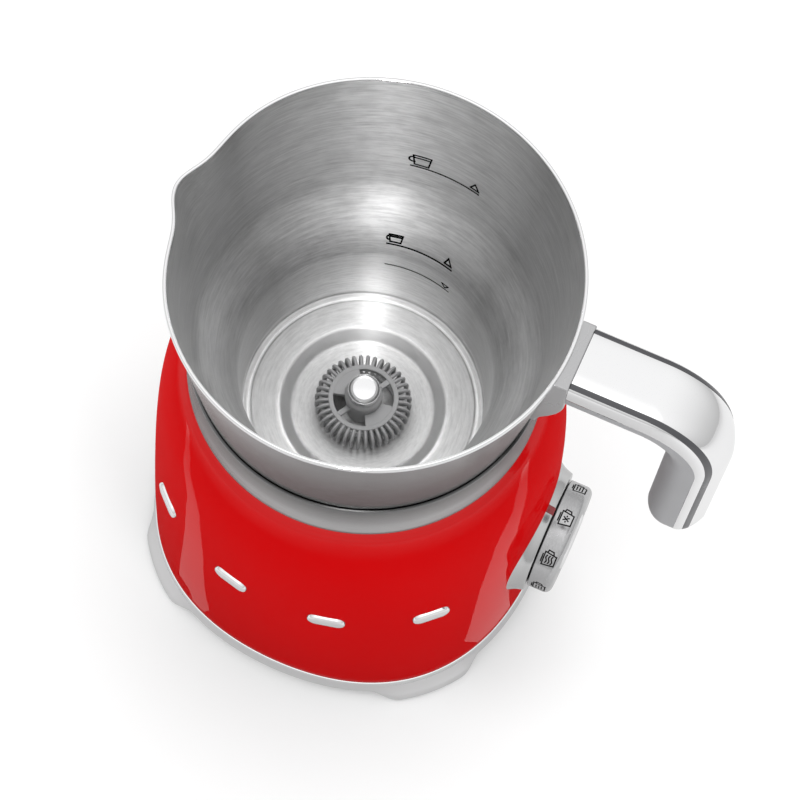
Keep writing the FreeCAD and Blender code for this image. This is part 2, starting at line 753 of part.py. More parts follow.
def whisk_disc():
    """Moulded disc: bearing tube, two solid sectors and two spokes, and a ring of C-shaped ribs."""
    top = WHISK_TOP
    disc = tube(5.2, HUB_R + RUN, WHISK_Z0, top)
    disc = disc.fuse(tube(10.9, 9.2, top - 1.8, top))
    disc = disc.fuse(tube(10.4, 9.4, WHISK_Z0 + 0.2, WHISK_Z0 + 1.4))
    for a0, a1 in SECTORS:
        disc = disc.fuse(sector(5.0, 9.6, top - 1.6, top, a0, a1))
    for angle in SPOKES:
        disc = disc.fuse(turn(box(4.6, 9.6, -0.9, 0.9, top - 1.6, top), angle))
    for angle in BOSSES:
        boss = cyl(2.3, WHISK_Z0 + 0.2, top - 1.0, MAGNET_R).cut(cyl(1.7, WHISK_Z0, 93.6, MAGNET_R))
        disc = disc.fuse(turn(boss, angle))
    rib = box(9.6, WHISK_R, -0.5, 0.5, WHISK_Z0 + 0.2, top - 0.3)
    rib = rib.cut(box(9.0, WHISK_R - 1.5, -1, 1, WHISK_Z0 + 1.7, top - 1.8))
    ribs = around(rib, [360.0 * i / RIBS for i in range(RIBS)])
    return disc.multiFuse(ribs).removeSplitter()


def whisk_magnets():
    magnet = cyl(1.7, WHISK_Z0 + 0.3, 93.6, MAGNET_R)
    return group(around(magnet, BOSSES))


# ---------------------------------------------------------------- build
BARS = badge_bars()
HANDLE = handle_form(0.0).common(box(HANDLE_X0, 112, -15, 15, 100, 200))
CAP = HANDLE.common(cap_zone())
STRIPS = inlay_strips(CAP)
CAP_SHELL = CAP.cut(handle_form(CAP_WALL))

PARTS = {
    "outer_shell": outer_shell(BARS),
    "badge_bars": group(BARS),
    "collar_ring": collar_ring(),
    "base_ring": base_ring(),
    "bottom_cover": bottom_cover(),
    "foot_ring": foot_ring(),
    "cover_screws": cover_screws(),
    "well_liner": well_liner(),
    "temperature_sensor": temperature_sensor(),
    "coil_former": coil_former(),
    "induction_coil": induction_coil(),
    "ferrite_bars": ferrite_bars(),
    "motor_bracket": motor_bracket(),
    "motor_can": motor_can(),
    "motor_screws": motor_screws(),
    "motor_shaft": motor_shaft(),
    "drive_disc": drive_disc(),
    "drive_magnets": drive_magnets(),
    "control_board": control_board(),
    "board_screws": board_screws(),
    "board_components": board_components(),
    "heat_sink": heat_sink(),
    "cord_grip": cord_grip(),
    "power_cord": power_cord(),
    "cord_clamp": cord_clamp(),
    "knob_bezel": knob_bezel(),
    "index_mark": index_mark(),
    "knob_ring": knob_ring(),
    "knob_carrier": knob_carrier(),
    "light_ring": light_ring(),
    "encoder_shaft": encoder_shaft(),
    "encoder_body": encoder_body(),
    "knob_board": knob_board(),
    "tact_switch": tact_switch(),
    "start_button": start_button(),
    "button_stem": button_stem(),
    "jug_shell": jug_shell(),
    "jug_base_plate": jug_base_plate(),
    "jug_post": jug_post(),
    "handle_bracket": handle_bracket(),
    "handle_core": handle_core(HANDLE, CAP_SHELL),
    "handle_top_shell": handle_top_shell(CAP_SHELL, STRIPS),
    "handle_inlay_strips": group(STRIPS),
    "handle_screws": group(handle_screw_list()),
    "whisk_hub": whisk_hub(),
    "whisk_cap": whisk_cap(),
    "whisk_disc": whisk_disc(),
    "whisk_magnets": whisk_magnets(),
}

for name, shape in PARTS.items():
    save(name, shape)
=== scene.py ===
import json
import math

import bmesh
import bpy
from mathutils import Matrix, Vector

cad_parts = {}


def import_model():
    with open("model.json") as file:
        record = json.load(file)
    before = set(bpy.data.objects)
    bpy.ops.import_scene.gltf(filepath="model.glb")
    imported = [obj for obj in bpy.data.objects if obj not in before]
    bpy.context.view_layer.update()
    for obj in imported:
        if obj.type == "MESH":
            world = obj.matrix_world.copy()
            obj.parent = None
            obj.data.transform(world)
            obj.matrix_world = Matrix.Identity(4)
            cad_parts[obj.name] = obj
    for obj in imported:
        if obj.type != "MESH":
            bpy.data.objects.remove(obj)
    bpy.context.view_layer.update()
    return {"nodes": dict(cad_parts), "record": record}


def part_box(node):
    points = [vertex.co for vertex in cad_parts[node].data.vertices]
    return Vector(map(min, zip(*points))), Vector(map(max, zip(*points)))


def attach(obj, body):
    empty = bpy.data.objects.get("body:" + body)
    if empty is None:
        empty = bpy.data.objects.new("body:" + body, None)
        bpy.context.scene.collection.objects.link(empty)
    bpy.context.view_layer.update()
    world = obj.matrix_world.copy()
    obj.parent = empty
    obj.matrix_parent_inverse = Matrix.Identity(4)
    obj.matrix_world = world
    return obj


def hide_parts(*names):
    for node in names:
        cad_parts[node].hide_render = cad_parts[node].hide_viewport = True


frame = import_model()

MM = 0.001

# ---------------- sizes from the frame, in millimetres


def span(node, axis):
    """Lowest and highest coordinate of a CAD node along an axis, in millimetres."""
    low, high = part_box(node)
    return low["XYZ".index(axis)] / MM, high["XYZ".index(axis)] / MM


JUG_FOOT_Z, RIM_Z = span("jug_shell", "Z")
RIM_R = span("jug_shell", "Y")[1]
SHELL_Z0, SHELL_TOP_Z = span("outer_shell", "Z")
COLLAR_TOP = span("collar_ring", "Z")[1]
WALL = 0.9                # thickness of the jug's wall
FLOOR_Z = 91.3            # top of the jug's outer floor
RECESS_Z = JUG_FOOT_Z + WALL
COLLAR_R = span("collar_ring", "Y")[1]
KNOB_X0, KNOB_X1 = span("knob_ring", "X")
KNOB_R = span("knob_ring", "Y")[1]
KNOB_Z = sum(span("knob_ring", "Z")) / 2
BADGE_Z = sum(span("badge_bars", "Z")) / 2
HANDLE_X0, HANDLE_X1 = span("handle_top_shell", "X")
HANDLE_END_Z, HANDLE_TOP = span("handle_top_shell", "Z")
HANDLE_HALF = span("handle_top_shell", "Y")[1]
WHISK_R = span("whisk_disc", "X")[1]
WHISK_Z0, WHISK_TOP = span("whisk_disc", "Z")
CAP_Z0, CAP_TOP = span("whisk_cap", "Z")

# ---------------- outlines


def rounded(points, closed=False, steps=6):
    """Outline through (a, b, corner radius) points, with each corner rounded to its radius."""
    out = []
    count = len(points)
    for i, (a, b, radius) in enumerate(points):
        p = Vector((a, b))
        if radius <= 0 or (not closed and i in (0, count - 1)):
            out.append((a, b))
            continue
        before = Vector(points[i - 1][:2]) - p
        after = Vector(points[(i + 1) % count][:2]) - p
        half = before.angle(after) / 2
        reach = min(radius / math.tan(half), before.length * 0.49, after.length * 0.49)
        radius = reach * math.tan(half)
        centre = p + (before.normalized() + after.normalized()).normalized() * (radius / math.sin(half))
        start = p + before.normalized() * reach - centre
        end = p + after.normalized() * reach - centre
        turn = math.atan2(start.x * end.y - start.y * end.x, start.dot(end))
        for k in range(steps + 1):
            t = turn * k / steps
            out.append((centre.x + start.x * math.cos(t) - start.y * math.sin(t),
                        centre.y + start.x * math.sin(t) + start.y * math.cos(t)))
    return out


def soft_box(a0, a1, b0, b1, edge=0.25, steps=3):
    """Rectangle with rounded corners."""
    return rounded([(a0, b0, edge), (a1, b0, edge), (a1, b1, edge), (a0, b1, edge)], closed=True, steps=steps)


def smooth_line(points, steps=8):
    """Smooth curve through a few points."""
    out = []
    for i in range(len(points) - 1):
        p1, p2 = Vector(points[i]), Vector(points[i + 1])
        p0 = Vector(points[i - 1]) if i else p1 * 2 - p2
        p3 = Vector(points[i + 2]) if i + 2 < len(points) else p2 * 2 - p1
        for k in range(steps):
            t = k / steps
            p = 0.5 * (2 * p1 + (p2 - p0) * t + (2 * p0 - 5 * p1 + 4 * p2 - p3) * t * t
                       + (3 * p1 - p0 - 3 * p2 + p3) * t ** 3)
            out.append(tuple(p))
    return out + [tuple(points[-1])]


def smoothstep(low, high, x):
    """0 below low, 1 above high, with a soft change between."""
    t = min(1.0, max(0.0, (x - low) / (high - low)))
    return t * t * (3 - 2 * t)


# ---------------- mesh pieces


def piece(name, verts, faces, body, slot, stands_for=(), flat=False):
    """Closed mesh in millimetres, made into a piece that rides on a CAD body."""
    mesh = bpy.data.meshes.new(name)
    mesh.from_pydata([Vector(v) * MM for v in verts], [], faces)
    form = bmesh.new()
    form.from_mesh(mesh)
    bmesh.ops.recalc_face_normals(form, faces=form.faces)
    form.to_mesh(mesh)
    form.free()
    for face in mesh.polygons:
        face.use_smooth = not flat
    obj = bpy.data.objects.new(name, mesh)
    bpy.context.scene.collection.objects.link(obj)
    mesh.materials.append(MATERIALS[slot])
    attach(obj, body)
    if stands_for:
        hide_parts(*stands_for)
    return obj


def smooth_by_angle(obj, degrees=32):
    """Keeps edges sharper than an angle crisp in the shading."""
    limit = math.radians(degrees)
    form = bmesh.new()
    form.from_mesh(obj.data)
    for edge in form.edges:
        if len(edge.link_faces) == 2 and edge.calc_face_angle() > limit:
            edge.smooth = False
    form.to_mesh(obj.data)
    form.free()


def turned(outline, turns=192, shift=None, closed=True):
    """Verts and faces of an outline of (r, z) points turned round Z.
    shift(angle, r, z) returns a changed (r, z)."""
    verts, faces, rings = [], [], []
    for r, z in outline:
        if r < 1e-6:
            rings.append([len(verts)])
            verts.append((0, 0, z))
            continue
        ring = []
        for k in range(turns):
            a = 2 * math.pi * k / turns
            rr, zz = shift(a, r, z) if shift else (r, z)
            ring.append(len(verts))
            verts.append((rr * math.cos(a), rr * math.sin(a), zz))
        rings.append(ring)
    pairs = list(zip(rings, rings[1:]))
    if closed:
        pairs.append((rings[-1], rings[0]))
    for low, high in pairs:
        if len(low) == 1 and len(high) == 1:
            continue
        for k in range(turns):
            n = (k + 1) % turns
            if len(low) == 1:
                faces.append((low[0], high[n], high[k]))
            elif len(high) == 1:
                faces.append((low[k], low[n], high[0]))
            else:
                faces.append((low[k], low[n], high[n], high[k]))
    return verts, faces


def along_x(verts, z):
    """Turns verts made round Z so that they stand round the +X line at height z."""
    return [(v[2], v[1], z - v[0]) for v in verts]


def swept(sections):
    """Verts and faces of a solid through closed loops of points, with flat ends."""
    verts, faces = [], []
    count = len(sections[0])
    for loop in sections:
        verts += [tuple(p) for p in loop]
    for i in range(len(sections) - 1):
        for k in range(count):
            n = (k + 1) % count
            faces.append((i * count + k, i * count + n, (i + 1) * count + n, (i + 1) * count + k))
    faces.append(tuple(range(count)))
    faces.append(tuple((len(sections) - 1) * count + k for k in reversed(range(count))))
    return verts, faces


def joined(meshes):
    """Several (verts, faces) as one."""
    verts, faces = [], []
    for v, f in meshes:
        start = len(verts)
        verts += list(v)
        faces += [tuple(i + start for i in face) for face in f]
    return verts, faces


def rotated(mesh, degrees):
    """(verts, faces) turned about Z."""
    a = math.radians(degrees)
    c, s = math.cos(a), math.sin(a)
    return [(x * c - y * s, x * s + y * c, z) for x, y, z in mesh[0]], mesh[1]


# ---------------- material nodes


class Nodes:
    """Short forms for building a procedural material."""

    def __init__(self, name):
        self.material = bpy.data.materials.new(name)
        self.material.use_nodes = True
        self.tree = self.material.node_tree
        self.shader = self.tree.nodes["Principled BSDF"]

    def add(self, kind, **settings):
        node = self.tree.nodes.new(kind)
        for key, value in settings.items():
            setattr(node, key, value)
        return node

    def link(self, source, target):
        self.tree.links.new(source, target)

    def set(self, **values):
        for key, value in values.items():
            self.shader.inputs[key.replace("_", " ")].default_value = value

    def value(self, node, **inputs):
        for key, value in inputs.items():
            node.inputs[key].default_value = value
        return node

    def math(self, operation, a, b=None):
        node = self.add("ShaderNodeMath", operation=operation)
        for socket, term in zip(node.inputs, (a, b)):
            if isinstance(term, (int, float)):
                socket.default_value = term
            elif term is not None:
                self.link(term, socket)
        return node.outputs[0]

    def position(self):
        return self.add("ShaderNodeTexCoord").outputs["Object"]

    def noise(self, vector, scale, detail=3.0, rough=0.5, w=None):
        node = self.add("ShaderNodeTexNoise", noise_dimensions="3D" if w is None else "4D")
        self.value(node, Scale=scale, Detail=detail, Roughness=rough)
        self.link(vector, node.inputs["Vector"])
        if w is not None:
            self.link(w, node.inputs["W"])
        return node.outputs["Fac"]

    def spread(self, source, low, high, to_low, to_high):
        node = self.add("ShaderNodeMapRange", clamp=True)
        self.link(source, node.inputs["Value"])
        for key, number in zip(("From Min", "From Max", "To Min", "To Max"), (low, high, to_low, to_high)):
            node.inputs[key].default_value = number
        return node.outputs["Result"]

    def mix(self, source, dark, light):
        node = self.add("ShaderNodeMix", data_type="RGBA")
        self.link(source, node.inputs["Factor"])
        node.inputs["A"].default_value = (*dark, 1)
        node.inputs["B"].default_value = (*light, 1)
        return node.outputs["Result"]

    def bump(self, source, distance_mm, strength):
        node = self.value(self.add("ShaderNodeBump"), Strength=strength, Distance=distance_mm * MM)
        self.link(source, node.inputs["Height"])
        return node.outputs["Normal"]

    def use(self, **sources):
        for key, source in sources.items():
            self.link(source, self.shader.inputs[key.replace("_", " ")])

    def tinted(self, colour, factor):
        """A colour multiplied by a number."""
        node = self.add("ShaderNodeVectorMath", operation="SCALE")
        self.link(colour, node.inputs[0])
        self.link(factor, node.inputs["Scale"])
        return node.outputs["Vector"]

    def towards(self, degrees):
        """1 on the side of the axis that faces the direction, -1 on the opposite side."""
        flat = self.add("ShaderNodeVectorMath", operation="MULTIPLY")
        self.link(self.position(), flat.inputs[0])
        flat.inputs[1].default_value = (1, 1, 0)
        unit = self.add("ShaderNodeVectorMath", operation="NORMALIZE")
        self.link(flat.outputs["Vector"], unit.inputs[0])
        dot = self.add("ShaderNodeVectorMath", operation="DOT_PRODUCT")
        self.link(unit.outputs["Vector"], dot.inputs[0])
        a = math.radians(degrees)
        dot.inputs[1].default_value = (math.cos(a), math.sin(a), 0)
        return dot.outputs["Value"]

    def split(self, vector):
        """The three parts of a vector."""
        parts = self.add("ShaderNodeSeparateXYZ")
        self.link(vector, parts.inputs[0])
        return parts.outputs[0], parts.outputs[1], parts.outputs[2]

    def height(self):
        return self.split(self.position())[2]

    def by_ray(self, kind, otherwise, seen):
        """One colour for a kind of ray and another one for all other rays."""
        node = self.add("ShaderNodeMix", data_type="RGBA")
        self.link(self.add("ShaderNodeLightPath").outputs[kind], node.inputs["Factor"])
        self.link(seen, node.inputs["B"])
        if isinstance(otherwise, tuple):
            node.inputs["A"].default_value = (*otherwise, 1)
        else:
            self.link(otherwise, node.inputs["A"])
        return node.outputs["Result"]

    def turned_lines(self, axis, stretch):
        """Coordinates that run along the circles about an axis through the origin (or at knob height for X):
        a vector and a w for 4-D noise, stretched along the circles."""
        x, y, z = self.split(self.position())
        if axis == "Z":
            a, b, along = x, y, z
        else:
            a, b, along = y, self.math("SUBTRACT", z, KNOB_Z * MM), x
        radius = self.math("SQRT", self.math("ADD", self.math("MULTIPLY", a, a), self.math("MULTIPLY", b, b)))
        safe = self.math("MAXIMUM", radius, 1e-5)
        vector = self.add("ShaderNodeCombineXYZ")
        self.link(self.math("MULTIPLY", self.math("DIVIDE", a, safe), stretch), vector.inputs[0])
        self.link(self.math("MULTIPLY", self.math("DIVIDE", b, safe), stretch), vector.inputs[1])
        self.link(radius, vector.inputs[2])
        return vector.outputs[0], along


def metal(name, color, rough, wear=0.03, coarse=60.0):
    """Polished or satin metal with a slight, cloudy change in its polish."""
    n = Nodes(name)
    clouds = n.noise(n.position(), coarse, 4.0)
    fine = n.noise(n.position(), 2600.0, 2.0)
    n.set(Metallic=1.0)
    n.use(Base_Color=n.mix(clouds, [c * 0.96 for c in color], color),
          Roughness=n.spread(clouds, 0.3, 0.7, max(0.01, rough - wear), rough + wear),
          Normal=n.bump(fine, 0.002, 0.12))
    return n.material


def brushed(name, color, rough, axis="Z", lines=5200.0, depth=0.004, contrast=0.14, strength=0.4, aniso=0.75,
            across=0.0, painted_light=None, painted_floor_light=None):
    """Metal with fine turned lines around an axis; across turns its stretched highlights (0.25 is a quarter
    turn, so that they lie across the lines). glow is (direction in degrees, value away from it, value towards
    it, where the change starts, as a cosine): painted light, the colour lighter on the side that faces that
    direction (a painted highlight) and darker away from it (painted shade). painted_floor_light is (value of
    the jug's floor, what the slope of its recess has more): painted shade on the floor and a painted
    highlight on the slope of its recess; it keeps the glow off the floor."""
    n = Nodes(name)
    vector, along = n.turned_lines(axis, 0.004)
    fine = n.noise(vector, lines, 3.0, 0.65, w=along)
    broad_vector, broad_along = n.turned_lines(axis, 0.03)
    broad = n.noise(broad_vector, 400.0, 3.0, 0.6, w=broad_along)
    both = n.math("ADD", n.math("MULTIPLY", fine, 0.75), n.math("MULTIPLY", broad, 0.25))
    dark = [c * (1 - contrast) for c in color]
    light = [min(1.0, c * (1 + contrast)) for c in color]
    n.set(Metallic=1.0, Anisotropic=aniso, Anisotropic_Rotation=across)
    if axis == "Z":
        tangent = n.add("ShaderNodeTangent", direction_type="RADIAL", axis="Z")
        n.link(tangent.outputs[0], n.shader.inputs["Tangent"])
    shade = n.mix(n.spread(both, 0.3, 0.7, 0.0, 1.0), dark, light)
    low, high = (RECESS_Z + 0.1) * MM, (FLOOR_Z + 0.3) * MM      # heights of the recess and of the floor
    # painted light: the colour is lighter on the side that faces one direction (a painted highlight) and
    # darker away from it (painted shade)
    if painted_light is not None:
        direction, away, facing, start = painted_light
        band = n.spread(n.towards(direction), start, 1.0, away - 1, facing - 1)
        if painted_floor_light is not None:
            band = n.math("MULTIPLY", band, n.spread(n.height(), high, high + 3.0 * MM, 0.0, 1.0))
        shade = n.tinted(shade, n.math("ADD", band, 1.0))
    # painted shade on the jug's floor and a painted highlight on the slope of its recess
    if painted_floor_light is not None:
        floor_painted_shade, slope_painted_highlight = painted_floor_light
        slope = n.math("MULTIPLY", n.spread(n.height(), low, low + 0.4 * MM, 0.0, 1.0),
                       n.spread(n.height(), high - 0.7 * MM, high - 0.4 * MM, 1.0, 0.0))
        painted_floor_factor = n.math("ADD", n.spread(n.height(), high, high + 1.5 * MM, floor_painted_shade, 1.0),
                              n.math("MULTIPLY", slope, slope_painted_highlight))
        shade = n.tinted(shade, painted_floor_factor)
    n.use(Base_Color=shade, Roughness=n.spread(both, 0.3, 0.7, rough - 0.05, rough + 0.07),
          Normal=n.bump(both, depth, strength))
    return n.material


def paint(name, color, deep, seen_in_metal):
    """Glossy enamel: coloured base under a clear coat with a faint orange peel. The coat mirrors what is
    above the horizon much more than the table, and other surfaces pick up only a little of the colour."""
    n = Nodes(name)
    clouds = n.noise(n.position(), 25.0, 2.0)
    peel = n.noise(n.position(), 700.0, 1.0)
    # painted shade: the red is darker towards the bottom of the shell
    painted_shade_low = n.spread(n.height(), 20.0 * MM, 110.0 * MM, 0.82, 1.0)
    tint = n.by_ray("Is Camera Ray", seen_in_metal, n.tinted(n.mix(clouds, deep, color), painted_shade_low))
    mirrored_height = n.split(n.add("ShaderNodeTexCoord").outputs["Reflection"])[2]
    n.set(Roughness=0.5, Specular_IOR_Level=0.0, Coat_Roughness=0.015, Coat_IOR=1.5)
    n.use(Base_Color=tint, Coat_Normal=n.bump(peel, 0.01, 0.05),
          Coat_Weight=n.spread(mirrored_height, -0.6, 0.2, 0.05, 0.8))
    return n.material


def collar_silver_painted_shade():
    """Satin silver with painted shade: darker under the jug and light at its foot."""
    n = Nodes("collar_silver")
    clouds = n.noise(n.position(), 60.0, 4.0)
    # painted shade: the silver is darker towards its top, under the jug, and light at its foot
    painted_collar_shade = n.spread(n.height(), (SHELL_TOP_Z + 1) * MM, (COLLAR_TOP - 1) * MM, 0.62, 0.16)
    n.set(Metallic=1.0)
    n.use(Base_Color=n.tinted(n.mix(clouds, (0.97, 0.97, 0.97), (1, 1, 1)), painted_collar_shade),
          Roughness=n.spread(clouds, 0.3, 0.7, 0.2, 0.26),
          Normal=n.bump(n.noise(n.position(), 2600.0, 2.0), 0.002, 0.12))
    return n.material


def plastic(name, color, rough, grain=900.0, depth=0.015, coat=0.0, shine=0.5):
    """Moulded plastic or rubber with a fine grain."""
    n = Nodes(name)
    grains = n.noise(n.position(), grain, 3.0, 0.6)
    clouds = n.noise(n.position(), 90.0, 3.0)
    n.set(Coat_Weight=coat, Coat_Roughness=0.08, Specular_IOR_Level=shine)
    n.use(Base_Color=n.mix(clouds, [c * 0.88 for c in color], [min(1, c * 1.15) for c in color]),
          Roughness=n.spread(clouds, 0.3, 0.7, rough - 0.05, rough + 0.06),
          Normal=n.bump(grains, depth, 0.35))
    return n.material


def clear(name):
    """Slightly frosted clear plastic."""
    n = Nodes(name)
    cells = n.noise(n.position(), 500.0, 2.0)
    n.set(Transmission_Weight=0.6, IOR=1.49)
    n.use(Base_Color=n.mix(cells, (0.82, 0.86, 0.88), (0.93, 0.95, 0.96)),
          Roughness=n.spread(cells, 0.3, 0.7, 0.25, 0.4))
    return n.material


def winding(name):
    """Enamelled copper with the fine grooves of its turns."""
    n = Nodes(name)
    vector, along = n.turned_lines("Z", 0.002)
    turns = n.noise(vector, 1500.0, 1.0, 0.5, w=along)
    n.set(Metallic=0.9, Roughness=0.32, Coat_Weight=0.6)
    n.use(Base_Color=n.mix(turns, (0.36, 0.12, 0.05), (0.78, 0.36, 0.17)), Normal=n.bump(turns, 0.1, 0.6))
    return n.material


MATERIALS = {
    "shell_red": paint("red_enamel", (0.56, 0.0015, 0.0025), (0.52, 0.0012, 0.002), (0.22, 0.17, 0.17)),
    "chrome_trim": metal("chrome", (0.84, 0.84, 0.845), 0.05, 0.015),
    "silver_collar": metal("satin_silver", (0.52, 0.52, 0.52), 0.16, 0.03),
    # painted light on the jug's steel: a painted highlight band down the far inside wall, painted shade at
    # its sides, painted shade on the floor and a painted highlight on the recess slope
    "jug_steel": brushed("brushed_steel", (0.88, 0.88, 0.88), 0.36, lines=1300.0, depth=0.016, contrast=0.24,
                         across=0.25, painted_light=(107.0, 0.61, 1.12, 0.62), painted_floor_light=(0.78, 0.7)),
    "knob_metal": brushed("brushed_aluminium", (0.48, 0.48, 0.485), 0.22, axis="X"),
    "bracket_satin": metal("satin_steel", (0.46, 0.46, 0.465), 0.28, 0.04),
    "dark_inlay": plastic("dark_inlay", (0.055, 0.055, 0.06), 0.3),
    "grey_grip": plastic("grey_grip", (0.30, 0.30, 0.31), 0.42),
    "whisk_grey": plastic("whisk_plastic", (0.46, 0.46, 0.465), 0.45, 1500.0, 0.01),
    "mark_red": plastic("dark_red_mark", (0.20, 0.008, 0.012), 0.22, coat=0.5),
    "light_clear": clear("light_ring"),
    "dark_plastic": plastic("black_plastic", (0.028, 0.028, 0.03), 0.45),
    "white_plastic": plastic("white_plastic", (0.72, 0.71, 0.68), 0.4),
    "black_rubber": plastic("black_rubber", (0.018, 0.018, 0.018), 0.7, 1400.0, 0.03),
    "copper": winding("copper_winding"),
    "ferrite": plastic("ferrite", (0.05, 0.05, 0.055), 0.6, 2500.0, 0.02),
    "magnet": metal("nickel", (0.62, 0.60, 0.57), 0.18),
    "steel_parts": metal("machined_steel", (0.56, 0.56, 0.57), 0.28, 0.06, 180.0),
    "zinc_screw": metal("zinc", (0.66, 0.67, 0.65), 0.3, 0.05, 300.0),
    "board_green": plastic("solder_mask", (0.015, 0.13, 0.05), 0.3, coat=0.4),
    "component_black": plastic("component", (0.03, 0.03, 0.034), 0.5),
    "alu_sink": metal("extruded_aluminium", (0.66, 0.67, 0.69), 0.34, 0.05, 200.0),
}
PRINT = plastic("printed_mark", (0.004, 0.004, 0.004), 0.6, 3000.0, 0.002, shine=0.05)
# painted shade on the jug's outside: darker on the side towards the camera, lighter round the sides and back
JUG_OUTSIDE = brushed("jug_outside", (0.62, 0.62, 0.62), 0.2, lines=3000.0, depth=0.002, contrast=0.04,
                      strength=0.2, aniso=0.5, painted_light=(-69.0, 1.3, 0.45, -0.2))

slot_of = {entry["node"]: entry["material_slot"] for entry in frame["record"]["subparts"]}
for name, node in frame["nodes"].items():
    node.data.materials.clear()
    node.data.materials.append(MATERIALS[slot_of[name]])

# ---------------- red shell, collar, base ring
SHELL_WALL = 2.4
# how far the section is drawn in and out at the four corners, by height
LOBES = [(SHELL_Z0, 1.35), (32.0, 1.1), (55.0, 0.75), (77.0, 0.35), (94.0, 0.0), (200.0, 0.0)]
SHELL_LINE = [(65.0, SHELL_Z0), (64.7, 32.0), (63.9, 55.0), (62.8, 77.0), (61.4, 94.0), (59.7, 106.0),
              (57.3, 115.0), (54.9, 121.0)]
BADGE_LENGTH, BADGE_HEIGHT, BADGE_STAND = 11.6, 5.4, 1.1
BADGE_COUNT, BADGE_STEP = 4, 29.0        # bars, and degrees from one to the next


def lobe(z):
    """Amount of the four-cornered shape at a height."""
    for (z0, a), (z1, b) in zip(LOBES, LOBES[1:]):
        if z <= z1:
            return a + (b - a) * max(0.0, z - z0) / (z1 - z0)
    return 0.0


def lobed(angle, r, z):
    return r - lobe(z) * math.cos(4 * angle), z


def shell_radius(angle, z):
    """Outside radius of the red shell."""
    for (r0, z0), (r1, z1) in zip(SHELL_LINE, SHELL_LINE[1:]):
        if z <= z1:
            return r0 + (r1 - r0) * (z - z0) / (z1 - z0) - lobe(z) * math.cos(4 * angle)
    return r1


def outer_shell():
    edge, top = COLLAR_R + 0.05, SHELL_TOP_Z
    outline = smooth_line(SHELL_LINE + [(edge + 0.8, top - 0.85)], 7)
    outline += rounded([(edge + 0.8, top - 0.85, 0), (edge, top, 0.5), (edge - 1.5, top, 0.3),
                        (edge - 1.5, top - 2.0, 0)], steps=4)[1:]
    inner = [(57.0 - 2.2, 113.4)] + [(r - SHELL_WALL, z) for r, z in SHELL_LINE[4::-1]]
    outline += smooth_line([(edge - 2.5, top - 3.2)] + inner, 4)
    return piece("shell_body", *turned(outline, 320, lobed), "base", "shell_red", ["outer_shell"])


def collar():
    """Tall polished ring with a hollow outer face, open a little round the jug."""
    edge, top, foot = COLLAR_R, COLLAR_TOP, SHELL_TOP_Z
    outline = smooth_line([(edge, foot + 0.02), (edge - 0.04, foot + 0.7), (edge - 0.3, foot + 3.0),
                           (edge - 0.58, foot + 7.0), (edge - 0.68, foot + 12.0),
                           (edge - 0.66, top - 0.5)], 6)
    outline += rounded([(edge - 0.66, top - 0.4, 0), (edge - 0.7, top + 0.1, 0.2),
                        (edge - 1.46, top + 0.1, 0.15), (edge - 1.5, top - 0.8, 0.2),
                        (edge - 2.4, foot - 4.4, 0.2), (edge - 1.65, foot - 4.4, 0.2),
                        (edge - 1.65, foot + 0.02, 0)], steps=4)
    obj = piece("collar", *turned(outline, 256), "base", "silver_collar", ["collar_ring"])
    obj.data.materials[0] = collar_silver_painted_shade()
    return obj


FOOT_OUT = 3.1            # how far the four feet stand out of the base ring
ARCH_RISE = 2.6           # height of the arches between the feet


def base_ring_shift(angle, r, z):
    """Draws the ring out and down at the four corners."""
    corner = abs((math.degrees(angle) % 90) - 45)
    foot = 1 - smoothstep(9.0, 17.0, corner)
    low = 1 - smoothstep(0.8, 8.5, z)
    r -= lobe(z) * math.cos(4 * angle)
    if r > 62.5:
        r += FOOT_OUT * foot * low
    return r, z + (1 - foot) * ARCH_RISE * (1 - smoothstep(0.8, 6.0, z))


def base_ring():
    low, top = span("base_ring", "Z")[0], SHELL_Z0
    outline = rounded([(60.7, low, 0.4), (65.9, low, 1.1), (66.2, 4.0, 3.0), (65.6, 8.0, 3.0),
                       (65.45, top - 0.1, 0.5), (61.1, top - 0.1, 0.2), (61.1, top + 3.0, 0.3),
                       (59.4, top + 3.0, 0.3), (59.4, top - 2.4, 0.3), (60.7, top - 2.4, 0.2)],
                      closed=True, steps=5)
    return piece("base_trim", *turned(outline, 360, base_ring_shift), "base", "chrome_trim", ["base_ring"])


def badge_bars():
    """Plain pill-shaped bars that follow the shell's front."""
    length, height, stand = BADGE_LENGTH, BADGE_HEIGHT, BADGE_STAND
    bars = []
    rings = [(0.0, -0.9), (0.0, 0.55 * stand), (-0.16, 0.85 * stand), (-0.42, stand), (-1.2, stand + 0.12)]
    for i in range(BADGE_COUNT):
        middle = math.radians(-90 + BADGE_STEP * (i - (BADGE_COUNT - 1) / 2))
        loops = []
        for inset, out in rings:
            loop = []
            for k in range(48):
                t = 2 * math.pi * k / 48
                side = (length - height) / 2 * (1 if math.cos(t) > 0 else -1)
                across = side + (height / 2 + inset) * math.cos(t)
                up = (height / 2 + inset) * math.sin(t)
                a = middle + across / 63.0
                r = shell_radius(a, BADGE_Z + up) + out
                loop.append((r * math.cos(a), r * math.sin(a), BADGE_Z + up))
            loops.append(loop)
        bars.append(swept(loops))
    obj = piece("badge_pieces", *joined(bars), "base", "chrome_trim", ["badge_bars"])
    smooth_by_angle(obj, 50)
    return obj


outer_shell()
collar()
base_ring()
badge_bars()

# ---------------- jug
CONE_FOOT = (50.0, 138.0)
CONE_SLOPE = (RIM_R - CONE_FOOT[0]) / (RIM_Z - CONE_FOOT[1])
SPOUT_Z = 152.0           # where the spout starts
SPOUT_OUT, SPOUT_PINCH = 4.6, 3.0        # how far it is drawn out, and in beside it
RECESS_R = 23.6
JUG_TURNS = 320


def cone_radius(z):
    return RIM_R - CONE_SLOPE * (RIM_Z - z)


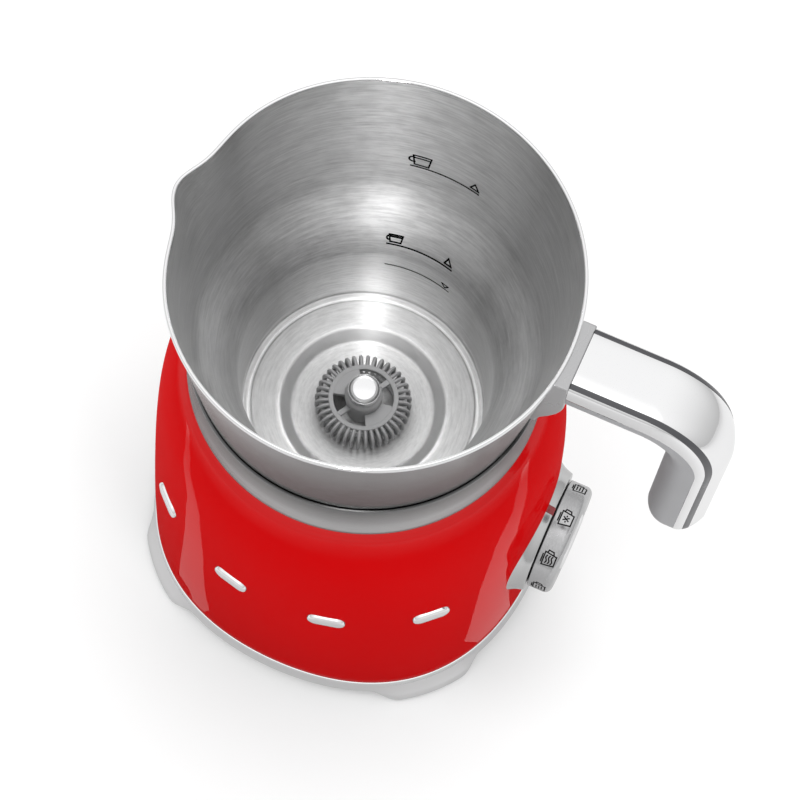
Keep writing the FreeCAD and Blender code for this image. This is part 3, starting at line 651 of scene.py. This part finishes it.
def spout_shift(angle, r, z):
    """Draws the rim out into a spout on the -X side and in beside it."""
    if z <= SPOUT_Z or r < 40:
        return r, z
    share = ((z - SPOUT_Z) / (RIM_Z - SPOUT_Z)) ** 1.8
    d = (math.degrees(angle) % 360.0) - 180.0
    nose = math.exp(-(d / 8.5) ** 2)
    pinch = math.exp(-(d / 26.0) ** 2)
    return r + share * (SPOUT_OUT * nose - SPOUT_PINCH * pinch), z


CURVE_LOW, CURVE_HIGH = 119.5, 142.5     # heights between which the narrow cylinder widens into the cone


def wall_radius(z, earlier=0.0, later=0.0):
    """Outside radius of the jug's wall above the floor; the curve can start earlier and end later."""
    low = 37.9 + 0.02 * (z - 104.0)
    return low + (cone_radius(z) - low) * smoothstep(CURVE_LOW - earlier, CURVE_HIGH + later, z)


def jug_outlines():
    """Outside line up to the rim, and inside line down to the middle of the floor."""
    low, high = 104.0, RIM_Z - 2.4
    heights = [low + (high - low) * k / 110 for k in range(111)]
    outside = rounded([(0, JUG_FOOT_Z, 0), (RECESS_R + WALL, JUG_FOOT_Z, 1.2),
                       (RECESS_R + WALL, FLOOR_Z - WALL, 0.8), (37.4, FLOOR_Z - WALL, 2.4),
                       (wall_radius(low), low, 0)], steps=10)
    outside += [(wall_radius(z), z) for z in heights[1:]]
    rim = rounded([(wall_radius(high + 0.3), high + 0.3, 0), (RIM_R + 0.05, RIM_Z - 1.5, 0.7),
                   (RIM_R + 0.05, RIM_Z, 0.5), (RIM_R - WALL - 0.1, RIM_Z, 0.5),
                   (wall_radius(high) - WALL, high, 0)], steps=6)
    inside = [(wall_radius(z, 1.5, 4.0) - WALL, z) for z in heights[-2::-1]]
    inside += rounded([(wall_radius(low) - WALL, low, 0), (36.5, FLOOR_Z, 1.7), (35.2, FLOOR_Z, 0.6),
                       (34.7, FLOOR_Z - 0.25, 0.3), (34.2, FLOOR_Z - 0.25, 0.3), (33.6, FLOOR_Z, 0.5),
                       (RECESS_R + 1.9, FLOOR_Z, 3.0), (RECESS_R - 2.2, RECESS_Z, 3.0), (0, RECESS_Z, 0)],
                      steps=12)[1:]
    return outside, rim, inside


def jug():
    """The steel body: brushed inside, a polished rim, and a smoother outside."""
    outside, rim, inside = jug_outlines()
    verts, faces = turned(outside + rim + inside, JUG_TURNS, spout_shift, closed=False)
    obj = piece("jug_body", verts, faces, "jug", "jug_steel", ["jug_shell"])
    obj.data.materials.append(MATERIALS["chrome_trim"])
    obj.data.materials.append(JUG_OUTSIDE)
    rim_low = (RIM_Z - 2.3) * MM
    limit = 1 + (len(outside) + len(rim) // 2 - 1) * JUG_TURNS     # the first vertex of the inside
    for face in obj.data.polygons:
        lowest = min(obj.data.vertices[v].co.z for v in face.vertices)
        if lowest > rim_low:
            face.material_index = 1
        elif max(face.vertices) < limit:
            face.material_index = 2
    return obj


jug()
JUG_INSIDE = jug_outlines()[2]


def inner_radius(z):
    """Inside radius of the jug at a height."""
    for (r_high, high), (r_low, low) in zip(JUG_INSIDE, JUG_INSIDE[1:]):
        if low <= z <= high and high > low:
            return r_low + (r_high - r_low) * (z - low) / (high - low)
    return JUG_INSIDE[0][0]


def drawn(name, strokes, place, width, body, raise_mm=0.07):
    """Thin raised strokes. Each stroke is a list of (u, v) points; place(u, v) gives the point on the surface
    and the surface's normal there."""
    parts = []
    for stroke in strokes:
        for (u0, v0), (u1, v1) in zip(stroke, stroke[1:]):
            run = Vector((u1 - u0, v1 - v0))
            if run.length < 1e-6:
                continue
            side = Vector((-run.y, run.x)).normalized() * width / 2
            ahead = run.normalized() * width / 2
            count = max(1, int(run.length / 1.2))
            loops = []
            for k in range(count + 1):
                middle = Vector((u0, v0)) - ahead + (run + 2 * ahead) * (k / count)
                loop = []
                for offset, lift in ((side, -0.1), (side, raise_mm), (-side, raise_mm), (-side, -0.1)):
                    point, normal = place(middle.x + offset.x, middle.y + offset.y)
                    loop.append(point + normal * lift)
                loops.append(loop)
            parts.append(swept(loops))
    obj = piece(name, *joined(parts), body, "dark_inlay", flat=True)
    obj.data.materials[0] = PRINT
    return obj


def wall_place(angle0, z0):
    """Places a drawing on the jug's inner wall, to be read from inside: u runs clockwise seen from above."""
    def place(u, v):
        z = z0 + v
        r = inner_radius(z)
        a = math.radians(angle0) - u / r
        return Vector((r * math.cos(a), r * math.sin(a), z)), Vector((-math.cos(a), -math.sin(a), 0))
    return place


def ring_points(cu, cv, radius, a0, a1, steps=10):
    """Arc of a circle between two angles in degrees."""
    return [(cu + radius * math.cos(math.radians(a0 + (a1 - a0) * k / steps)),
             cv + radius * math.sin(math.radians(a0 + (a1 - a0) * k / steps))) for k in range(steps + 1)]


def cup(u, v, w, h):
    """A plain cup with a handle, drawn from its lower left corner."""
    return [[(u, v + h), (u + 0.1 * w, v), (u + 0.8 * w, v), (u + 0.9 * w, v + h), (u, v + h)],
            [(u + 0.05 * w, v + 0.75 * h), (u + 0.85 * w, v + 0.75 * h)],
            ring_points(u, v + 0.55 * h, 0.26 * h, 60, 300)]


def triangle(u0, u1, v_foot, v_tip):
    return [(u0, v_foot), ((u0 + u1) / 2, v_tip), (u1, v_foot), (u0, v_foot)]


def level_marks():
    """Three filling levels: a line each, with a plain triangle, and a cup over the upper two."""
    upper = [[(0, 0), (21.5, 0)]] + cup(0.4, 1.0, 6.0, 4.4) + [triangle(18.6, 21.4, 1.2, 3.6)]
    lower = [[(0, 0), (21.0, 0)]] + cup(0.4, 0.9, 4.6, 2.4) + [triangle(18.4, 20.8, 1.0, 3.0)]
    lowest = [[(0, 0), (21.0, 0)], triangle(18.4, 20.8, 2.9, 0.9)]
    drawn("level_mark_upper", upper, wall_place(100.7, 153.8), 0.5, "jug")
    drawn("level_mark_lower", lower, wall_place(105.1, 124.6), 0.5, "jug")
    drawn("level_mark_lowest", lowest, wall_place(104.8, 113.2), 0.42, "jug")


level_marks()

# ---------------- handle
BEND_R = 24.7
BEND_X = HANDLE_X1 - BEND_R
BEND_Z = HANDLE_TOP - BEND_R
CAP_DEPTH = 7.0           # depth of the chrome cap's sides below its crown
INLAY_Y = 8.6             # how far the dark strips lie from the handle's middle plane


def handle_path():
    """Stations along the crown line: point, outward direction, how far the flat section has become the grip's
    domed one, and the share of the full width."""
    stations = []
    along_x_out, hang_end = Vector((1, 0)), HANDLE_END_Z + HANDLE_HALF
    for k in range(13):
        x = HANDLE_X0 + (BEND_X - HANDLE_X0) * k / 13
        stations.append((Vector((x, HANDLE_TOP)), Vector((0, 1)), 0.0, 1.0))
    for k in range(33):
        t = math.pi / 2 * k / 32
        out = Vector((math.sin(t), math.cos(t)))
        stations.append((Vector((BEND_X, BEND_Z)) + out * BEND_R, out, k / 32, 1.0))
    for k in range(1, 13):
        stations.append((Vector((HANDLE_X1, BEND_Z + (hang_end - BEND_Z) * k / 12)), along_x_out, 1.0, 1.0))
    for k in range(1, 17):
        t = math.pi / 2 * k / 16 * 0.995
        end = Vector((HANDLE_X1, hang_end - HANDLE_HALF * math.sin(t)))
        stations.append((end, along_x_out, 1.0, math.cos(t)))
    return stations


def crown_power(grow):
    """Power of the crown's superellipse: boxy along the top, rounder down the grip."""
    return 1.75 + 4.75 * (1 - grow) ** 2


def superellipse(half, depth, power, steps):
    """Half of a superellipse as (y, height) points from -y to +y, evenly spaced along it."""
    fine = []
    for i in range(241):
        t = math.pi * (1 - i / 240)
        c = math.cos(t)
        fine.append((half * math.copysign(abs(c) ** (2 / power), c), depth * abs(math.sin(t)) ** (2 / power)))
    lengths = [0.0]
    for a, b in zip(fine, fine[1:]):
        lengths.append(lengths[-1] + math.dist(a, b))
    points = []
    i = 0
    for k in range(steps + 1):
        target = lengths[-1] * k / steps
        while i < len(fine) - 2 and lengths[i + 1] < target:
            i += 1
        share = (target - lengths[i]) / max(1e-9, lengths[i + 1] - lengths[i])
        a, b = fine[i], fine[i + 1]
        points.append((a[0] + share * (b[0] - a[0]), a[1] + share * (b[1] - a[1])))
    return points


def handle_sweep(section):
    """section(grow) returns (y, depth below the crown) points."""
    loops = []
    for point, out, grow, share in handle_path():
        loop = []
        for y, depth in section(grow):
            at = point - out * depth
            loop.append((at.x, y * share, at.y))
        loops.append(loop)
    return swept(loops)


CAP_EDGE = 0.12           # small bevel along the lower edge of the chrome cap


def chrome_section(grow):
    crown = superellipse(HANDLE_HALF, CAP_DEPTH - CAP_EDGE, crown_power(grow), 48)
    outline = [(y, CAP_DEPTH - CAP_EDGE - h) for y, h in crown]
    side = HANDLE_HALF - CAP_EDGE
    return outline + [(side, CAP_DEPTH), (0, CAP_DEPTH), (-side, CAP_DEPTH)]


def grip_section(grow):
    """The grey core under the chrome, which bulges more along the hanging grip."""
    half = HANDLE_HALF - 0.1
    thick = 15.3 + 1.9 * grow
    side = CAP_DEPTH + 1.5 + grow
    belly = superellipse(half, thick - side, 2.2, 40)
    outline = [(-half, CAP_DEPTH - 0.4), (-half, CAP_DEPTH + 0.3)]
    outline += [(y, side + h) for y, h in belly]
    return outline + [(half, CAP_DEPTH + 0.3), (half, CAP_DEPTH - 0.4), (0, CAP_DEPTH - 0.4)]


def inlays():
    """Two dark strips let into the outer face, from the bracket to the rounded end."""
    loops = {-1: [], 1: []}
    for point, out, grow, share in handle_path():
        if share < 0.8:
            break
        power = crown_power(grow)
        for side in loops:
            loop = []
            for y, sunk in ((INLAY_Y - 0.7, 0.6), (INLAY_Y + 0.7, 0.6), (INLAY_Y + 0.7, -0.1),
                            (INLAY_Y, -0.12), (INLAY_Y - 0.7, -0.1)):
                depth = (CAP_DEPTH - CAP_EDGE) * (1 - (1 - (y / HANDLE_HALF) ** power) ** (1 / power)) + sunk
                at = point - out * depth
                loop.append((at.x, side * y * share, at.y))
            loops[side].append(loop if side > 0 else loop[::-1])
    return joined([swept(loops[-1]), swept(loops[1])])


def bracket():
    """Satin bracket between the jug's wall and the handle, with a gusset below."""
    half, top, x_out = 10.3, HANDLE_TOP - 0.4, HANDLE_X0
    outer = [(x_out, top), (x_out, 178.5)]
    outer += [(x_out - 0.5, 176.0), (58.9, 173.0), (57.2, 169.8), (54.9, 166.4), (53.8, 163.6), (53.7, 162.2)]
    heights = [top, 186.0, 182.0, 178.0, 174.5, 170.5, 166.6, 163.5, 162.2]
    loops = []
    for k in range(17):
        y = half * (2 * k / 16 - 1)
        loop = [(x, y, z) for x, z in outer]
        for z in reversed(heights):
            loop.append((math.sqrt((cone_radius(z) - 0.25) ** 2 - y * y), y, z))
        loops.append(loop)
    obj = piece("jug_bracket", *swept(loops), "jug", "bracket_satin", ["handle_bracket"])
    bevel = obj.modifiers.new("edges", "BEVEL")
    bevel.width, bevel.segments, bevel.limit_method = 0.7 * MM, 3, "ANGLE"
    bevel.angle_limit = math.radians(40)
    smooth_by_angle(obj, 40)
    return obj


for handle_piece, mesh, slot, node in (
        ("handle_chrome", handle_sweep(chrome_section), "chrome_trim", "handle_top_shell"),
        ("handle_grip", handle_sweep(grip_section), "grey_grip", "handle_core"),
        ("handle_inlays", inlays(), "dark_inlay", "handle_inlay_strips")):
    smooth_by_angle(piece(handle_piece, *mesh, "jug", slot, [node]), 45)
bracket()

# ---------------- knob and bezel


def turned_x(name, outline, body, slot, stands_for, turns):
    """Piece turned round the knob's axis from an outline of (r, x) points."""
    verts, faces = turned(outline, turns)
    obj = piece(name, along_x(verts, KNOB_Z), faces, body, slot, stands_for)
    smooth_by_angle(obj, 35)
    return obj


def bezel():
    flare = smooth_line([(23.6, 57.4), (22.0, 60.0), (20.7, 62.2), (20.0, 64.2)], 6)
    outline = flare + rounded([(20.0, 64.2, 0), (19.75, 65.0, 0.35), (17.2, 65.0, 0.3), (17.0, 63.6, 0.2),
                               (12.1, 63.6, 0.2), (12.1, 57.4, 0)], steps=4)[1:]
    return turned_x("bezel", outline, "base", "silver_collar", ["knob_bezel"], 192)


def index_mark():
    """Dark red bar across the top of the bezel."""
    loops = []
    for x, r in ((59.6, 22.4), (60.6, 21.75), (62.0, 20.95), (63.4, 20.4), (64.6, 20.1), (65.12, 19.6)):
        top = KNOB_Z + r
        loops.append([(x, -1.3, top - 1.6), (x, 1.3, top - 1.6), (x, 1.3, top), (x, 1.1, top + 0.18),
                      (x, -1.1, top + 0.18), (x, -1.3, top)])
    return piece("index_bar", *swept(loops), "base", "mark_red", ["index_mark"])


def knob():
    r, x0, x1 = KNOB_R, KNOB_X0, KNOB_X1
    outline = rounded([(16.2, x0 + 0.1, 0.2), (r, x0 + 0.1, 0.35), (r, x1, 2.3), (12.1, x1 - 0.6, 0.4),
                       (12.1, x0 + 4.4, 0.2), (16.2, x0 + 4.4, 0.2)], closed=True, steps=9)
    return turned_x("knob_rim", outline, "knob", "knob_metal", ["knob_ring"], 224)


def knob_place(angle0, x0):
    """Places a drawing on the knob's side: u runs round the knob, v along +X towards the front."""
    def place(u, v):
        a = math.radians(angle0) + u / KNOB_R
        out = Vector((0, math.sin(a), math.cos(a)))
        return Vector((x0 + v, 0, KNOB_Z)) + out * KNOB_R, out
    return place


def wave(u, v, w, h, steps=12):
    return [(u + w * k / steps, v + h * math.sin(2 * math.pi * k / steps)) for k in range(steps + 1)]


def knob_icons():
    """Eight plain pictograms round the knob: a cup with a star, waves, dots or bars in it."""
    frame_cup = [[(-2.3, 1.5), (-1.7, 5.3), (1.7, 5.3), (2.3, 1.5), (-2.3, 1.5)], [(-1.3, 1.0), (1.3, 1.0)],
                 [(2.2, 2.1), (3.1, 2.4), (2.9, 4.0), (1.9, 4.4)]]
    star = [[(-1.0, 3.3), (1.0, 3.3)], [(-0.5, 2.5), (0.5, 4.1)], [(0.5, 2.5), (-0.5, 4.1)]]
    waves = [wave(-1.3, 2.4 + 0.9 * k, 2.6, 0.22) for k in range(3)]
    dots = [[(a, b), (a + 0.12, b)] for a in (-0.8, 0.0, 0.8) for b in (2.5, 3.4, 4.3)]
    bars = [[(-1.2, 2.4 + 0.9 * k), (1.2, 2.4 + 0.9 * k)] for k in range(3)]
    fills = [star, waves, dots, bars, star, waves, dots, bars]
    for i, fill in enumerate(fills):
        place = knob_place(-45.0 * i, KNOB_X0 + 0.6)
        drawn("knob_icon_%d" % (i + 1), frame_cup + fill, place, 0.42, "knob", 0.03)


def knob_front():
    """Hub, clear ring and start button in the middle of the knob."""
    x1 = KNOB_X1
    hub = rounded([(9.75, 58.2, 0.3), (12.0, 58.2, 0.4), (12.0, 70.9, 0.1), (9.75, 70.9, 0.1)], closed=True)
    light = rounded([(9.7, 71.0, 0.1), (11.95, 71.0, 0.1), (11.95, x1 - 0.75, 0.4), (9.7, x1 - 0.75, 0.3)],
                    closed=True)
    button = rounded([(0, 68.1, 0), (9.3, 68.1, 0.3), (9.3, x1 + 0.25, 1.0), (6.5, x1 - 0.05, 3.0),
                      (0, x1 - 0.25, 0)], steps=8)
    turned_x("knob_hub", hub, "knob", "dark_plastic", ["knob_carrier"], 128)
    turned_x("start_light", light, "knob", "light_clear", ["light_ring"], 128)
    turned_x("start_cap", button, "button", "chrome_trim", ["start_button"], 128)


bezel()
index_mark()
knob()
knob_icons()
knob_front()

# ---------------- whisk
RIBS = 40
RIB_DEPTH, RIB_WIDTH = 0.72, 0.60        # half sizes of a rib's section


def whisk_rib():
    """One C-shaped loop of the whisk's ring, open towards the middle, as a rounded bar."""
    top, low, out_r = WHISK_TOP - 0.9, WHISK_Z0 + 1.0, WHISK_R - 0.55
    line = rounded([(9.7, top, 0), (out_r, top, 2.1), (out_r, low, 2.1), (10.0, low, 0)], steps=7)
    loops = []
    for i, (r, z) in enumerate(line):
        ahead = Vector(line[min(i + 1, len(line) - 1)]) - Vector(line[max(i - 1, 0)])
        out = Vector((ahead.y, -ahead.x)).normalized()
        loop = []
        for k in range(8):
            t = 2 * math.pi * (k + 0.5) / 8
            depth = RIB_DEPTH * math.cos(t)
            loop.append((r + out.x * depth, RIB_WIDTH * math.sin(t), z + out.y * depth))
        loops.append(loop)
    return swept(loops)


def flat_ring(r_in, r_out, z0, z1, a0=0.0, a1=360.0):
    """Ring or part of a ring with softened edges."""
    section = soft_box(r_in, r_out, z0, z1)
    if a1 - a0 >= 360:
        return turned(section, 128)
    steps = max(8, int((a1 - a0) / 4))
    loops = []
    for k in range(steps + 1):
        a = math.radians(a0 + (a1 - a0) * k / steps)
        loops.append([(r * math.cos(a), r * math.sin(a), z) for r, z in section])
    return swept(loops)


def spoke(angle, half, z0, z1):
    section = soft_box(-half, half, z0, z1)
    return rotated(swept([[(r, y, z) for y, z in section] for r in (4.9, 9.6)]), angle)


def whisk():
    """Ring of ribs, two solid sectors, two spokes and two small bosses."""
    top = WHISK_TOP
    parts = [rotated(whisk_rib(), 360.0 * i / RIBS) for i in range(RIBS)]
    parts += [flat_ring(9.1, 10.6, top - 1.9, top), flat_ring(9.3, 10.5, WHISK_Z0 + 0.2, WHISK_Z0 + 1.6),
              flat_ring(3.5, 5.2, WHISK_Z0, top + 0.05), flat_ring(5.0, 9.4, top - 1.6, top - 0.1, 122, 196),
              flat_ring(5.0, 9.4, top - 1.6, top - 0.1, -62, 5), spoke(59, 0.85, top - 1.5, top - 0.25),
              spoke(239, 0.85, top - 1.5, top - 0.25)]
    for angle in (-21, 159):
        boss = turned(rounded([(1.75, WHISK_Z0 + 0.2, 0.1), (2.3, WHISK_Z0 + 0.2, 0.2), (2.3, top - 1.2, 0.1),
                               (1.75, top - 1.2, 0.1)], closed=True, steps=2), 32)
        boss = ([(x + 7.1, y, z) for x, y, z in boss[0]], boss[1])
        parts.append(rotated(boss, angle))
    obj = piece("whisk_ribs", *joined(parts), "whisk_disc", "whisk_grey", ["whisk_disc"])
    smooth_by_angle(obj, 50)


def whisk_centre():
    """Sleeve on the jug's post that carries the whisk, and its chrome cap."""
    low = span("whisk_hub", "Z")[0]
    foot, collar_z = WHISK_Z0 - 0.1, WHISK_TOP + 0.3
    sleeve = rounded([(2.06, low, 0.1), (4.8, low, 0.3), (4.8, foot, 0.2), (3.4, foot, 0.1),
                      (3.4, collar_z, 0.1), (5.7, collar_z, 0.4), (5.7, CAP_Z0 - 0.9, 1.0),
                      (5.05, CAP_Z0, 0.2), (2.06, CAP_Z0, 0.1)], closed=True, steps=6)
    obj = piece("whisk_sleeve", *turned(sleeve, 128), "whisk_hub", "whisk_grey", ["whisk_hub"])
    smooth_by_angle(obj, 40)
    cap_foot = CAP_Z0 + 0.02
    cap = rounded([(0, cap_foot, 0), (4.9, cap_foot, 0.2), (4.9, CAP_TOP, 1.9), (0, CAP_TOP, 0)], steps=10)
    piece("whisk_button", *turned(cap, 128, closed=False), "whisk_hub", "chrome_trim", ["whisk_cap"])


whisk()
whisk_centre()

# ---------------- floor, light and camera
CAMERA_AZIMUTH, CAMERA_ELEVATION, CAMERA_ROLL = 17.4, 69.0, 6.874
CAMERA_DISTANCE, CAMERA_LENS = 0.8, 120.2
AIM_RIGHT, AIM_UP = 10.95 * MM, 98.35 * MM
# brightness of the surroundings by height above the horizon, from 0 to 1
WORLD_LIGHT = ((0.0, 0.85), (1.0, 1.0))
WORLD_MIRRORED = ((0.0, 0.60), (0.3, 0.74), (0.7, 0.98), (0.93, 1.12), (1.0, 1.7))
# painted shade: metals see the table darker in the middle of the picture than at the sides
MIRRORED_MIDDLE, MIRRORED_SIDES = (0.62, 0.62, 0.62), (0.80, 0.80, 0.80)     # the table as metals see it
FLOOR_HALF = 4.0


def area_light(name, where, towards, size, power):
    data = bpy.data.lights.new(name, "AREA")
    data.shape, data.size, data.size_y = "RECTANGLE", size[0], size[1]
    data.energy = power
    obj = bpy.data.objects.new(name, data)
    obj.location = where
    obj.rotation_mode = "QUATERNION"
    obj.rotation_quaternion = (Vector(towards) - Vector(where)).to_track_quat("-Z", "Y")
    bpy.context.scene.collection.objects.link(obj)
    return obj


def only_for(light, receiver):
    """Lets one piece alone pick up a light, which the camera doesn't see."""
    light.visible_camera = False
    receivers = bpy.data.collections.new(light.name + "_receivers")
    receivers.objects.link(bpy.data.objects[receiver])
    light.light_linking.receiver_collection = receivers


def floor():
    """Plain pale table. Metals see it grey, with painted shade: darker in the middle of the picture."""
    mesh = bpy.data.meshes.new("floor")
    corners = [(x * FLOOR_HALF, y * FLOOR_HALF, 0) for x, y in ((-1, -1), (1, -1), (1, 1), (-1, 1))]
    mesh.from_pydata(corners, [], [(0, 1, 2, 3)])
    obj = bpy.data.objects.new("floor", mesh)
    bpy.context.scene.collection.objects.link(obj)
    n = Nodes("pale_floor")
    n.set(Roughness=0.9, Specular_IOR_Level=0.1)
    x, y, _ = n.split(n.position())
    a = math.radians(CAMERA_AZIMUTH)
    sideways = n.math("ADD", n.math("MULTIPLY", x, math.cos(a)), n.math("MULTIPLY", y, math.sin(a)))
    # painted shade in what metals reflect: the table is darker along the middle of the picture
    from_middle = n.spread(n.math("ABSOLUTE", sideways), 10.0 * MM, 160.0 * MM, 0.0, 1.0)
    pale = n.mix(n.noise(n.position(), 3.0), (0.93, 0.93, 0.93), (0.95, 0.95, 0.95))
    n.use(Base_Color=n.by_ray("Is Glossy Ray", pale, n.mix(from_middle, MIRRORED_MIDDLE, MIRRORED_SIDES)))
    mesh.materials.append(n.material)


def world():
    """Soft white surroundings; polished metal sees a darker horizon below a white ceiling."""
    w = bpy.data.worlds.new("studio")
    bpy.context.scene.world = w
    w.use_nodes = True
    tree = w.node_tree
    coords = tree.nodes.new("ShaderNodeTexCoord")
    parts = tree.nodes.new("ShaderNodeSeparateXYZ")
    tree.links.new(coords.outputs["Generated"], parts.inputs[0])
    ramps = []
    for stops in (WORLD_LIGHT, WORLD_MIRRORED):
        ramp = tree.nodes.new("ShaderNodeValToRGB")
        tree.links.new(parts.outputs[2], ramp.inputs[0])
        while len(ramp.color_ramp.elements) < len(stops):
            ramp.color_ramp.elements.new(0.5)
        for element, (place, grey) in zip(ramp.color_ramp.elements, stops):
            element.position = place
            element.color = (grey, grey, grey, 1)
        ramps.append(ramp.outputs[0])
    rays = tree.nodes.new("ShaderNodeLightPath")
    choice = tree.nodes.new("ShaderNodeMix")
    choice.data_type = "RGBA"
    tree.links.new(rays.outputs["Is Glossy Ray"], choice.inputs["Factor"])
    tree.links.new(ramps[0], choice.inputs["A"])
    tree.links.new(ramps[1], choice.inputs["B"])
    tree.links.new(choice.outputs["Result"], tree.nodes["Background"].inputs[0])
    tree.nodes["Background"].inputs[1].default_value = 1.0


def camera():
    """Long lens above and in front of the object, at the photo's viewing angle."""
    a, e = math.radians(CAMERA_AZIMUTH), math.radians(CAMERA_ELEVATION)
    right = Vector((math.cos(a), math.sin(a), 0))
    back = Vector((math.sin(a) * math.cos(e), -math.cos(a) * math.cos(e), math.sin(e)))
    up = back.cross(right)
    aim = right * AIM_RIGHT + Vector((0, 0, AIM_UP))
    roll = math.radians(CAMERA_ROLL)
    right_rolled = right * math.cos(roll) + up * math.sin(roll)
    up_rolled = up * math.cos(roll) - right * math.sin(roll)
    data = bpy.data.cameras.new("camera")
    data.lens, data.sensor_width = CAMERA_LENS, 36.0
    data.clip_start, data.clip_end = 0.05, 50.0
    obj = bpy.data.objects.new("camera", data)
    turn = Matrix((right_rolled, up_rolled, back)).transposed().to_4x4()
    obj.matrix_world = Matrix.Translation(aim + back * CAMERA_DISTANCE) @ turn
    bpy.context.scene.collection.objects.link(obj)
    bpy.context.scene.camera = obj


def strip_light(name, angle, reach, width, power):
    """Narrow light lying on the table beside the base, seen only as a reflection in the shell. It starts at
    the shell's foot, at an angle counted from the camera's right, and runs sideways."""
    foot = Vector((math.cos(math.radians(angle)), math.sin(math.radians(angle)), 0)) * SHELL_LINE[0][0]
    middle = foot + Vector((math.copysign(reach / 2, foot.x), 0, 0.3))
    turn = Matrix.Rotation(math.radians(CAMERA_AZIMUTH), 4, "Z")
    obj = area_light(name, (0, 0, 0), (0, 0, 1), (reach * MM, width * MM), power)
    obj.location = turn @ middle * MM
    obj.rotation_mode = "XYZ"
    obj.rotation_euler = (math.pi, 0, math.radians(CAMERA_AZIMUTH))
    obj.visible_diffuse = False
    only_for(obj, "shell_body")


def jug_light(distance, elevation, power):
    """Soft box between the camera and the jug that only the jug's steel picks up: it makes the bright band
    down the far inside wall."""
    a, e = math.radians(CAMERA_AZIMUTH - 90), math.radians(elevation)
    away = Vector((math.cos(a) * math.cos(e), math.sin(a) * math.cos(e), math.sin(e))) * distance
    where = away + Vector((0, 0, RIM_Z * MM))
    only_for(area_light("jug_band", where, (0, 0, 0.15), (0.1, 0.6), power), "jug_body")


floor()
world()
camera()
for light in (area_light("overhead", (0.1, 0.45, 1.4), (0, 0, 0.1), (1.0, 0.7), 5.0),
              area_light("left_box", (-1.1, -0.5, 0.9), (0, 0, 0.07), (0.5, 1.0), 3.0),
              area_light("right_box", (1.0, -0.6, 0.9), (0, 0, 0.07), (0.5, 1.0), 3.0)):
    light.visible_glossy = False
jug_light(0.7, 38.0, 2.7)
strip_light("left_strip", -137.5, 260.0, 14.0, 0.045)
strip_light("right_strip", -40.5, 260.0, 22.0, 0.085)
bpy.context.scene.view_settings.view_transform = "Standard"
